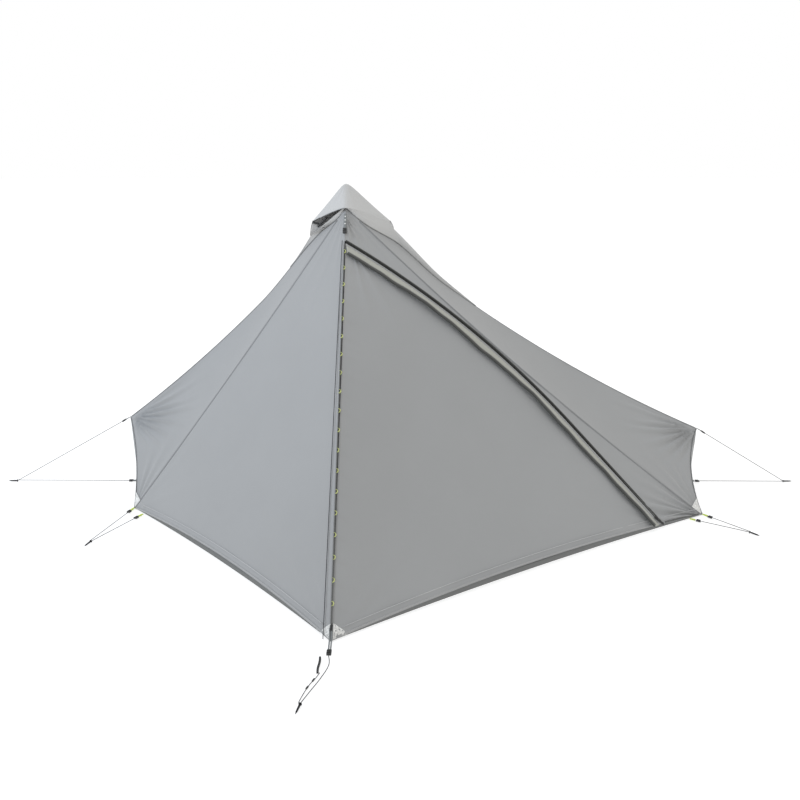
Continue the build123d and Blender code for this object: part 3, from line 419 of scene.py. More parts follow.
# ------------------------------------------------------------------ key points
@dataclass
class Pitch:
    """The pitched fly's driving sizes and the points that follow from them."""

    peak_x: float
    height: float = 1.5
    crown_set: float = 0.050
    half_width: float = 1.409
    hem: float = 0.004
    hem_rise: float = 0.042
    reach: dict[End, float] = by_end(1.200, 1.884)
    corner_x: dict[End, float] = by_end(1.116, 1.810)
    corner_y: dict[End, float] = by_end(0.324, 0.390)
    lift: dict[End, float] = by_end(0.390, 0.325)
    ridge_sag: dict[End, float] = by_end(0.046, 0.082)
    seam_sag: dict[End, float] = by_end(0.018, 0.048)
    end_sag: dict[End, float] = by_end(0.028, 0.052)
    sag_start: dict[End, float] = by_end(0.05, 0.03)
    sag_span: dict[End, float] = by_end(0.35, 0.25)
    vent_far: dict[End, float] = by_end(0.255, 0.370)

    @classmethod
    def from_frame(cls) -> "Pitch":
        """Takes the peak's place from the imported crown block."""
        low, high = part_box("pole_crown")
        return cls(peak_x=(low.x + high.x) / 2)

    def crown(self, side: Side) -> Vector:
        """Top of the front or back ridge."""
        return Vector((self.peak_x, side * self.crown_set, self.height))

    def peak(self) -> Vector:
        """Where the two end ridges start."""
        return Vector((self.peak_x, 0, self.height))

    def tip(self, side: Side) -> Vector:
        """Pointed corner on the ground."""
        return Vector((self.peak_x, side * self.half_width, self.hem))

    def corner(self, end: End, side: Side) -> Vector:
        """Corner beside an end."""
        return Vector((self.peak_x + end * self.corner_x[end], side * self.corner_y[end], self.hem))

    def raised(self, end: End) -> Vector:
        """Lifted middle of an end."""
        return Vector((self.peak_x + end * self.reach[end], 0, self.lift[end]))

    def hem_middle(self, end: End) -> Vector:
        """Middle of an end's hem."""
        return Vector((self.peak_x + end * self.reach[end], 0, self.hem))

    @staticmethod
    def bowed(start: Vector, stop: Vector, share: float, depth: float, towards: Vector) -> Vector:
        """Point of an edge hollowed towards a direction."""
        return start.lerp(stop, share) + towards * (4 * share * (1 - share) * depth)

    def seam(self, end: End, side: Side, share: float) -> Vector:
        """Point of the seam from the crown to a corner."""
        crown, corner, tip = self.crown(side), self.corner(end, side), self.tip(side)
        chord = (corner - crown).normalized()
        inward = (tip - crown) - chord * (tip - crown).dot(chord)
        return self.bowed(crown, corner, share, self.seam_sag[end], inward.normalized())

    def ridge(self, end: End, share: float) -> Vector:
        """Point of the sagging ridge from the peak to a lifted end."""
        peak, raised = self.peak(), self.raised(end)
        chord = (raised - peak).normalized()
        down = (chord * chord.z - UP).normalized()
        ease = min(max((share - self.sag_start[end]) / self.sag_span[end], 0.0), 1.0)
        depth = self.ridge_sag[end] * ease * ease * (3 - 2 * ease)
        return self.bowed(peak, raised, share, depth, down)

    def end_edge(self, end: End, side: Side, share: float) -> Vector:
        """Point of the hollow edge from a corner up to the lifted end."""
        corner, raised = self.corner(end, side), self.raised(end)
        along = (raised - corner).normalized()
        inward = self.ridge(end, 0.5) - raised
        inward = (inward - along * inward.dot(along)).normalized()
        return self.bowed(corner, raised, share, self.end_sag[end], inward)

    def shoulder(self, end: End, side: Side, share: float, across: float, stand: float = 0.0) -> Vector:
        """Point of a shoulder, across from its seam (0) to its ridge (1), standing off the cloth."""
        spot = self.seam(end, side, share).lerp(self.ridge(end, share), across)
        return spot + self.outside(end, side) * stand

    def vent_line(self, end: End, side: Side, share: float, stand: float = 0.0) -> Vector:
        """Line on a shoulder from the crown over to the ridge, then down it: the vent's edge."""
        across = min(share / (0.42 * self.vent_far[end]), 1.0)
        return self.shoulder(end, side, share, across * across * (3 - 2 * across), stand)

    def hem_line(self, end: End, side: Side, share: float) -> Vector:
        """Point of the hollow hem from a tip to a corner."""
        plane = self.panel(end, side)
        return self.bowed(self.tip(side), self.corner(end, side), share, self.hem_rise, plane.rise)

    def panel(self, end: End, side: Side) -> "PanelPlane":
        """Plane of a main panel."""
        return PanelPlane(self.tip(side), self.corner(end, side), self.crown(side))

    def outside(self, end: End, side: Side) -> Vector:
        """A direction that points out of the fly at an end and side."""
        return Vector((end * 0.5, side * 0.8, 0.6)).normalized()


@dataclass
class PanelPlane:
    """Flat plane of a main panel: x along the hem from the tip, y up the cloth."""

    tip: Vector
    corner: Vector
    crown: Vector

    def __post_init__(self) -> None:
        """Works out the plane's directions."""
        self.along = (self.corner - self.tip).normalized()
        normal = self.along.cross(self.crown - self.tip).normalized()
        self.normal = normal if normal.z > 0 else -normal
        rise = self.crown - self.tip
        self.rise = (rise - self.along * rise.dot(self.along)).normalized()
        self.length = (self.corner - self.tip).length

    def place(self, x: float, y: float, lift: float = 0.0) -> Vector:
        """A point given along the hem, up the cloth and out from it."""
        return self.tip + self.along * x + self.rise * y + self.normal * lift

    def local(self, point: Vector) -> Vector:
        """Along and up the cloth, of a point."""
        offset = point - self.tip
        return Vector((offset.dot(self.along), offset.dot(self.rise)))


@dataclass
class ZipLine:
    """The door zip's line in its panel: a straight run from the foot, then an arc to the top."""

    pitch: Pitch
    top_aside: float = 0.0267
    top_below: float = 0.218
    knee_aside: float = 0.313
    knee_rise: float = 0.597
    foot_from_corner: float = 0.2801
    foot_up: float = 0.019

    def __post_init__(self) -> None:
        """Works out the arc."""
        self.plane = self.pitch.panel(RIGHT, FRONT)
        self.foot = Vector((self.plane.length - self.foot_from_corner, self.foot_up))
        self.knee = self.foot + Vector((-self.knee_aside, self.knee_rise))
        crown = self.plane.local(self.pitch.crown(FRONT))
        self.top = crown - Vector((self.top_aside, self.top_below))
        self.run = (self.knee - self.foot).normalized()
        self.inward = Vector((-self.run.y, self.run.x))
        chord = self.top - self.knee
        self.radius = chord.length_squared / (2 * chord.dot(self.inward))
        self.centre = self.knee + self.inward * self.radius
        self.start = math.atan2(-self.inward.y, -self.inward.x)
        spoke = self.top - self.centre
        self.sweep = math.atan2(spoke.y, spoke.x) - self.start
        self.straight = (self.knee - self.foot).length
        self.length = self.straight + self.radius * abs(self.sweep)
        self.ridge = crown.normalized()
        self.clear = Vector((self.ridge.y, -self.ridge.x))

    def meet(self, shift: float, gap: float = 0.007) -> float:
        """Share of the way up at which a line beside the zip comes to the front ridge."""
        low, high = 0.8, 1.2
        for _ in range(30):
            middle = (low + high) / 2
            if self.at(middle, shift).dot(self.clear) > gap:
                low = middle
            else:
                high = middle
        return low

    def at(self, share: float, shift: float = 0.0) -> Vector:
        """Point in the panel at a share of the way up, a shift away on the fixed side."""
        distance = share * self.length
        if distance <= self.straight:
            low = self.foot + Vector((shift / self.run.y, 0))
            return low.lerp(self.knee - self.inward * shift, distance / self.straight)
        turn = self.start + (distance - self.straight) / self.radius * math.copysign(1, self.sweep)
        return self.centre + Vector((cos(turn), sin(turn))) * (self.radius + shift)

    def place(self, share: float, shift: float = 0.0, lift: float = 0.0) -> Vector:
        """The same point in space, lifted off the cloth."""
        flat = self.at(share, shift)
        return self.plane.place(flat.x, flat.y, lift)


# ------------------------------------------------------------------ mesh helpers
def smooth(value: np.ndarray) -> np.ndarray:
    """Smooth step from 0 to 1."""
    clipped = np.clip(value, 0.0, 1.0)
    return clipped * clipped * (3 - 2 * clipped)


def swell(points: np.ndarray, seed: int, scale: float, waves: int = 9) -> np.ndarray:
    """Slow undulation between about -1 and 1, the same on every run.

    Args:
        points: Places, one row each.
        seed: Which undulation.
        scale: Its wave length in metres.
        waves: How many plane waves it is made of.

    Returns:
        One height for each place.
    """
    random = np.random.default_rng(seed)
    total = np.zeros(len(points))
    for _ in range(waves):
        direction = random.normal(size=3)
        direction /= np.linalg.norm(direction)
        pace = 2 * pi / (scale * random.uniform(0.6, 1.6))
        total += np.cos(points @ direction * pace + random.uniform(0, 6.28))
    return total / math.sqrt(waves * 2)


def linked(name: str, data: bpy.types.ID) -> Piece:
    """Puts a mesh, curve, lamp or camera in the scene as an object at the origin."""
    piece = bpy.data.objects.new(name, data)
    bpy.context.scene.collection.objects.link(piece)
    return piece


def new_object(name: str, mesh: bpy.types.Mesh, material: bpy.types.Material) -> Piece:
    """Puts a mesh in the scene, smooth shaded and with one material."""
    mesh.materials.clear()
    mesh.materials.append(material)
    mesh.polygons.foreach_set("use_smooth", [True] * len(mesh.polygons))
    return linked(name, mesh)


@contextmanager
def editing(mesh: bpy.types.Mesh) -> Iterator[bmesh.types.BMesh]:
    """Opens a mesh for editing and writes it back when the block ends."""
    work = bmesh.new()
    work.from_mesh(mesh)
    yield work
    work.to_mesh(mesh)
    work.free()


def mesh_from(name: str, points: np.ndarray, faces: list, flat: np.ndarray | None) -> bpy.types.Mesh:
    """Makes a mesh from points, faces and a place in the cloth for each point."""
    mesh = bpy.data.meshes.new(name)
    mesh.from_pydata(points.tolist(), [], faces)
    if flat is not None:
        layer = mesh.uv_layers.new(name="UVMap")
        corners = np.zeros(len(mesh.loops), dtype=np.int32)
        mesh.loops.foreach_get("vertex_index", corners)
        layer.data.foreach_set("uv", flat[corners].ravel())
    return mesh


def merge(mesh: bpy.types.Mesh, distance: float = 1e-5) -> None:
    """Joins points that coincide and drops the faces that this flattens."""
    with editing(mesh) as work:
        bmesh.ops.remove_doubles(work, verts=work.verts, dist=distance)
        bmesh.ops.dissolve_degenerate(work, edges=work.edges, dist=distance)


def face_out(mesh: bpy.types.Mesh) -> None:
    """Turns the faces of a closed mesh outwards."""
    with editing(mesh) as work:
        bmesh.ops.remove_doubles(work, verts=work.verts, dist=1e-6)
        bmesh.ops.recalc_face_normals(work, faces=work.faces)


def thicken(piece: Piece, thick: float) -> bpy.types.Modifier:
    """Gives a sheet its thickness, inwards from its outer face."""
    shell = piece.modifiers.new("thickness", "SOLIDIFY")
    shell.thickness = thick
    shell.offset = -1.0
    return shell


def settle(piece: Piece, body: Body, slot: str, *nodes: str) -> None:
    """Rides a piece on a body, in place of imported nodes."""
    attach(piece, body.value)
    if nodes:
        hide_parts(*nodes)


def joined(name: str, pieces: Sequence[Piece]) -> Piece:
    """Joins mesh pieces into one, keeping their materials."""
    bpy.ops.object.select_all(action="DESELECT")
    for piece in pieces:
        piece.select_set(True)
    bpy.context.view_layer.objects.active = pieces[0]
    if len(pieces) > 1:
        bpy.ops.object.join()
    whole = bpy.context.view_layer.objects.active
    whole.name = name
    whole.data.name = name
    return whole


def assemble(name: str, pieces: Sequence[Piece], body: Body, slot: str, *nodes: str) -> None:
    """Joins pieces into one and settles it."""
    settle(joined(name, pieces), body, slot, *nodes)


@dataclass
class Fan:
    """Tension folds that run out from an anchor in the cloth.

    Each fold is its turn and width in degrees, its height and its reach in metres.
    """

    anchor: Vector
    towards: Vector
    folds: Sequence[tuple[float, float, float, float]]

    def height(self, points: np.ndarray, normal: Vector) -> np.ndarray:
        """Height of the folds at each point."""
        along = (self.towards - self.anchor).normalized()
        across = normal.cross(along).normalized()
        offset = points - np.array(self.anchor)
        x = offset @ np.array(along)
        y = offset @ np.array(across)
        reach = np.hypot(x, y)
        angle = np.degrees(np.arctan2(y, x))
        total = np.zeros(len(points))
        for turn, width, height, length in self.folds:
            away = (angle - turn - 1.5 * np.sin(reach * 7 + turn)) / width
            crest = np.exp(-away * away) - 0.55 * np.exp(-(away / 2.1) ** 2)
            total += height * crest * smooth(reach / (0.10 * length) - 0.1) * smooth(1.15 - reach / length)
        return total


@dataclass
class Patch:
    """A curved sheet of cloth between a left and a right edge, from its top row to its foot."""

    name: str
    left: Curve
    right: Curve
    outward: Vector
    rows: int = 120
    columns: int = 90
    foot: Curve | None = None
    foot_pull: float = 5.0
    sag: float = 0.0
    fans: Sequence[Fan] = ()
    ripple: float = 0.0
    ripple_scale: float = 0.5
    seed: int = 1
    rim: float = 0.035

    def grid(self) -> tuple[np.ndarray, np.ndarray]:
        """Points before folds, and their flat places."""
        points = np.zeros((self.rows + 1, self.columns + 1, 3))
        flat = np.zeros((self.rows + 1, self.columns + 1, 2))
        shares = np.linspace(0, 1, self.columns + 1)
        down = 0.0
        before = self.left(0.0)
        for row in range(self.rows + 1):
            share = row / self.rows
            left, right = self.left(share), self.right(share)
            down += (left - before).length
            before = left
            points[row] = np.outer(1 - shares, left) + np.outer(shares, right)
            flat[row, :, 0] = shares * (right - left).length
            flat[row, :, 1] = -down
        if self.foot is not None:
            straight = points[-1].copy()
            wanted = np.array([self.foot(share) for share in shares])
            pull = (np.linspace(0, 1, self.rows + 1) ** self.foot_pull)[:, None, None]
            points += pull * (wanted - straight)[None]
        return points, flat

    def edge_mask(self, points: np.ndarray) -> np.ndarray:
        """Zero on the seams, rising to one inside the rim."""
        width = np.linalg.norm(points[:, -1] - points[:, 0], axis=1)[:, None]
        shares = np.linspace(0, 1, self.columns + 1)[None, :]
        height = np.linalg.norm(points[-1] - points[0], axis=1)[None, :]
        down = np.linspace(0, 1, self.rows + 1)[:, None]
        mask = np.ones(points.shape[:2])
        for distance in (shares * width, (1 - shares) * width, down * height, (1 - down) * height):
            mask *= smooth(distance / self.rim)
        return mask

    def build(self, finish: Finish, thick: float = CLOTH) -> Piece:
        """Builds the sheet with its folds, sag and thickness."""
        points, flat = self.grid()
        across = np.gradient(points, axis=1)
        down = np.gradient(points, axis=0)
        normals = np.cross(across, down)
        lengths = np.linalg.norm(normals, axis=2, keepdims=True)
        normals /= np.maximum(lengths, 1e-12)
        turned = float((normals @ np.array(self.outward)).mean()) < 0
        if turned:
            normals = -normals
        rows, columns = self.rows + 1, self.columns + 1
        spots = points.reshape(-1, 3)
        middle = Vector(normals.reshape(-1, 3).mean(axis=0)).normalized()
        height = np.zeros(len(spots))
        for fan in self.fans:
            height += fan.height(spots, middle)
        if self.ripple:
            height += self.ripple * swell(spots, self.seed, self.ripple_scale)
        shares = np.linspace(0, 1, columns)[None, :]
        drop = np.linspace(0, 1, rows)[:, None]
        width = np.linalg.norm(points[:, -1] - points[:, 0], axis=1)[:, None]
        belly = 4 * shares * (1 - shares) * smooth(width / max(width.max(), 1e-9)) * np.sin(pi * drop)
        lift = height.reshape(rows, columns) - self.sag * belly
        points = points + normals * (lift * self.edge_mask(points))[:, :, None]
        faces = []
        for row in range(self.rows):
            for column in range(self.columns):
                a = row * columns + column
                face = (a, a + 1, a + columns + 1, a + columns)
                faces.append(face if turned else face[::-1])
        mesh = mesh_from(self.name, points.reshape(-1, 3), faces, flat.reshape(-1, 2))
        merge(mesh)
        piece = new_object(self.name, mesh, finish.material())
        self.check_out(piece)
        if thick:
            thicken(piece, thick)
        return piece

    def check_out(self, piece: Piece) -> None:
        """Flips the sheet when its faces look inwards."""
        total = Vector()
        for polygon in piece.data.polygons:
            total += polygon.normal * polygon.area
        if total.dot(self.outward) < 0:
            piece.data.flip_normals()


def ring_faces(rings: int, count: int, first: int = 0, wrap: bool = False) -> list[tuple[int, ...]]:
    """Four-sided faces between rings of points.

    Args:
        rings: How many rings there are.
        count: Points in each ring.
        first: Index of the first point.
        wrap: Whether the last ring joins the first.

    Returns:
        The faces, as indices of points.
    """
    faces = []
    for ring in range(rings if wrap else rings - 1):
        here, there = first + ring * count, first + (ring + 1) % rings * count
        for index in range(count):
            after = (index + 1) % count
            faces.append((here + index, here + after, there + after, there + index))
    return faces


def tangents(path: Sequence[Vector]) -> list[Vector]:
    """Direction of a path at each of its points."""
    last = len(path) - 1
    return [(path[min(index + 1, last)] - path[max(index - 1, 0)]).normalized()
            for index in range(len(path))]


def each(ups: Sequence[Vector] | Vector, count: int) -> Sequence[Vector]:
    """The same direction for every point, where only one is given."""
    return [ups] * count if isinstance(ups, Vector) else ups


def swept(
    name: str, path: Sequence[Vector], ups: Sequence[Vector] | Vector,
    profile: Sequence[tuple[float, float]], finish: "Finish",
) -> Piece:
    """Sweeps a closed profile along a path.

    Args:
        name: The piece's name.
        path: Points of the middle line.
        ups: The direction away from the cloth, one for all or one for each point.
        profile: Across and up of each corner of the section.
        finish: What it is made of.

    Returns:
        A closed strip with its length and girth as its flat place.
    """
    ups = each(ups, len(path))
    count = len(profile)
    girth = [0.0]
    for first, second in zip(profile, list(profile[1:]) + [profile[0]]):
        girth.append(girth[-1] + math.dist(first, second))
    points, flat = [], []
    distance = 0.0
    for index, (spot, tangent) in enumerate(zip(path, tangents(path))):
        across = ups[index].cross(tangent).normalized()
        upward = tangent.cross(across).normalized()
        if index:
            distance += (spot - path[index - 1]).length
        for corner, (aside, lift) in enumerate(profile):
            points.append(spot + across * aside + upward * lift)
            flat.append((girth[corner], distance))
    faces = ring_faces(len(path), count)
    faces.append(tuple(range(count)))
    faces.append(tuple(range(len(points) - count, len(points)))[::-1])
    mesh = mesh_from(name, np.array(points), faces, np.array(flat))
    with editing(mesh) as work:
        bmesh.ops.recalc_face_normals(work, faces=work.faces)
    return new_object(name, mesh, finish.material())


def flat_profile(width: float, thick: float, lift: float = 0.0) -> list[tuple[float, float]]:
    """Section of a flat strip with eased edges."""
    half, ease = width / 2, min(thick * 0.45, width * 0.2)
    top = lift + thick
    return [
        (-half, lift), (half, lift), (half, top - ease), (half - ease, top),
        (-half + ease, top), (-half, top - ease),
    ]


def round_profile(radius: float, sides: int = 12, lift: float = 0.0) -> list[tuple[float, float]]:
    """Section of a round bar."""
    turns = [2 * pi * index / sides for index in range(sides)]
    return [(radius * cos(turn), lift + radius * sin(turn)) for turn in turns]


def sampled(curve: Curve, count: int, start: float = 0.0, stop: float = 1.0) -> list[Vector]:
    """Even samples of a curve."""
    return [curve(start + (stop - start) * index / count) for index in range(count + 1)]


# ------------------------------------------------------------------ repeated shapes
class ShapeRow:
    """Geometry Nodes tree that sets one small shape at even steps along a path."""

    def __init__(self) -> None:
        """Builds the tree once."""
        self.tree = bpy.data.node_groups.new("row_of_shapes", "GeometryNodeTree")
        face = self.tree.interface
        face.new_socket("Geometry", in_out="INPUT", socket_type="NodeSocketGeometry")
        self.ids = {}
        for label, kind in (
            ("Step", "NodeSocketFloat"), ("Up", "NodeSocketVector"), ("Turn Jitter", "NodeSocketFloat"),
            ("Seed", "NodeSocketInt"), ("Shape", "NodeSocketObject"), ("Finish", "NodeSocketMaterial"),
        ):
            self.ids[label] = face.new_socket(label, in_out="INPUT", socket_type=kind).identifier
        face.new_socket("Geometry", in_out="OUTPUT", socket_type="NodeSocketGeometry")
        self._wire()

    def _wire(self) -> None:
        """Adds and links the tree's nodes."""
        nodes, links = self.tree.nodes, self.tree.links
        kinds = {
            "source": "NodeGroupInput", "points": "GeometryNodeCurveToPoints",
            "along": "FunctionNodeAlignRotationToVector", "upright": "FunctionNodeAlignRotationToVector",
            "wobble": "FunctionNodeRandomValue", "negative": "ShaderNodeMath",
            "spin": "FunctionNodeAxisAngleToRotation", "turned": "FunctionNodeRotateRotation",
            "shape": "GeometryNodeObjectInfo", "placed": "GeometryNodeInstanceOnPoints",
            "real": "GeometryNodeRealizeInstances", "dressed": "GeometryNodeSetMaterial",
            "sink": "NodeGroupOutput",
        }
        made = {name: nodes.new(kind) for name, kind in kinds.items()}
        for name, setting, value in (
            ("points", "mode", "LENGTH"), ("along", "axis", "X"), ("upright", "axis", "Z"),
            ("upright", "pivot_axis", "X"), ("wobble", "data_type", "FLOAT"),
            ("negative", "operation", "MULTIPLY"), ("turned", "rotation_space", "LOCAL"),
        ):
            setattr(made[name], setting, value)
        made["negative"].inputs[1].default_value = -1.0
        made["spin"].inputs["Axis"].default_value = (0, 0, 1)
        for first, leaving, second, entering in (
            ("source", "Geometry", "points", "Curve"), ("source", "Step", "points", "Length"),
            ("points", "Tangent", "along", "Vector"), ("along", "Rotation", "upright", "Rotation"),
            ("source", "Up", "upright", "Vector"), ("source", "Turn Jitter", "wobble", "Max_001"),
            ("source", "Turn Jitter", "negative", 0), ("negative", 0, "wobble", "Min_001"),
            ("source", "Seed", "wobble", "Seed"), ("wobble", "Value_001", "spin", "Angle"),
            ("upright", "Rotation", "turned", "Rotation"), ("spin", "Rotation", "turned", "Rotate By"),
            ("source", "Shape", "shape", "Object"), ("points", "Points", "placed", "Points"),
            ("shape", "Geometry", "placed", "Instance"), ("turned", "Rotation", "placed", "Rotation"),
            ("placed", "Instances", "real", "Geometry"), ("real", "Geometry", "dressed", "Geometry"),
            ("source", "Finish", "dressed", "Material"), ("dressed", "Geometry", "sink", "Geometry"),
        ):
            source = self._socket(made[first].outputs, leaving)
            links.new(source, self._socket(made[second].inputs, entering))

    @staticmethod
    def _socket(sockets: bpy.types.bpy_prop_collection, key: object) -> bpy.types.NodeSocket:
        """A socket by its name or index, or by its identifier where names repeat."""
        named = isinstance(key, int) or not key.endswith("_001")
        return sockets[key] if named else Shader.find(sockets, key)

    def lay(
        self, name: str, paths: Iterable[Sequence[Vector]], shape: Piece, step: float,
        up: Vector, finish: Finish, jitter: float = 0.0,
    ) -> Piece:
        """Sets the shape along each path and returns one plain mesh.

        Args:
            name: The piece's name.
            paths: Lines that the shapes follow.
            shape: A small object, x along the path and z up.
            step: Distance from one shape to the next.
            up: The direction that z turns to.
            finish: What it is made of.
            jitter: Largest turn about z, in radians.

        Returns:
            The finished piece.
        """
        curve = bpy.data.curves.new(name, "CURVE")
        curve.dimensions = "3D"
        for path in paths:
            spline = curve.splines.new("POLY")
            spline.points.add(len(path) - 1)
            for point, spot in zip(spline.points, path):
                point.co = (*spot, 1.0)
        holder = linked(name + "_path", curve)
        rule = holder.modifiers.new("row", "NODES")
        rule.node_group = self.tree
        rule[self.ids["Step"]] = step
        rule[self.ids["Up"]] = up
        rule[self.ids["Turn Jitter"]] = jitter
        rule[self.ids["Seed"]] = 7
        rule[self.ids["Shape"]] = shape
        rule[self.ids["Finish"]] = finish.material()
        bpy.context.view_layer.update()
        ready = holder.evaluated_get(bpy.context.evaluated_depsgraph_get())
        mesh = bpy.data.meshes.new_from_object(ready)
        bpy.data.objects.remove(holder)
        bpy.data.curves.remove(curve)
        return new_object(name, mesh, finish.material())


def small_shape(name: str, points: Sequence[tuple], faces: Sequence[tuple]) -> Piece:
    """A small template shape; it is removed once its rows are laid."""
    mesh = bpy.data.meshes.new(name)
    mesh.from_pydata(points, [], faces)
    face_out(mesh)
    return linked(name, mesh)


def stitch_shape(length: float = 0.0042, radius: float = 0.00045) -> Piece:
    """One stitch: a short thread that dips into the cloth at both ends."""
    points = []
    stations = ((-0.5, -0.6), (-0.3, 0.2), (0.3, 0.2), (0.5, -0.6))
    for along, lift in stations:
        for turn in range(4):
            angle = 2 * pi * turn / 4
            points.append((along * length, radius * cos(angle), radius * (lift + sin(angle))))
    faces = ring_faces(len(stations), 4) + [(0, 1, 2, 3), (15, 14, 13, 12)]
    return small_shape("stitch", points, faces)


def coil_shape(wide: float, thick: float, wire: float) -> Piece:
    """One turn of a zip coil: a flat rounded loop across the zip."""
    points = []
    turns, sides = 10, 4
    for index in range(turns):
        angle = 2 * pi * index / turns
        middle = Vector((0, wide / 2 * cos(angle), thick / 2 * (1 + sin(angle))))
        outward = Vector((0, cos(angle), sin(angle)))
        for side in range(sides):
            turn = 2 * pi * side / sides
            points.append(tuple(middle + outward * wire * cos(turn) + ACROSS * wire * sin(turn)))
    return small_shape("coil_turn", points, ring_faces(turns, sides, wrap=True))


def tab_shape(radius: float, width: float, thick: float) -> Piece:
    """A half-moon webbing tab whose feet are sewn along the ridge."""
    points, faces = [], []
    steps = 12
    for index in range(steps + 1):
        angle = pi * index / steps
        for reach in (radius - thick, radius):
            for half in (-width / 2, width / 2):
                points.append((reach * cos(angle), half, reach * sin(angle) * 1.05))
    for index in range(steps):
        a = index * 4
        for first, second in ((0, 1), (1, 3), (3, 2), (2, 0)):
            faces.append((a + first, a + second, a + 4 + second, a + 4 + first))
    last = steps * 4
    faces += [(0, 1, 3, 2), (last, last + 2, last + 3, last + 1)]
    return small_shape("half_moon", points, faces)


# ------------------------------------------------------------------ the fly
class Stitching:
    """Rows of stitches, gathered body by body so that each body gets one piece."""

    def __init__(self, rows: ShapeRow) -> None:
        """Keeps the row tree."""
        self.rows = rows
        self.paths: dict[Body, list[list[Vector]]] = {Body.SHELTER: [], Body.DOOR: []}

    def add(self, body: Body, path: Sequence[Vector]) -> None:
        """Adds one line of stitching."""
        self.paths[body].append(list(path))

    def finish(self) -> None:
        """Lays the stitches and rides them."""
        shape = stitch_shape()
        for body, paths in self.paths.items():
            up = Vector((0, -1, 0.6)) if body is Body.DOOR else UP
            piece = self.rows.lay(f"{body.value}_stitching", paths, shape, 0.0072, up, THREAD)
            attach(piece, body.value)
            LOG.info("stitching on %s: %d lines", body.value, len(paths))
        bpy.data.objects.remove(shape)


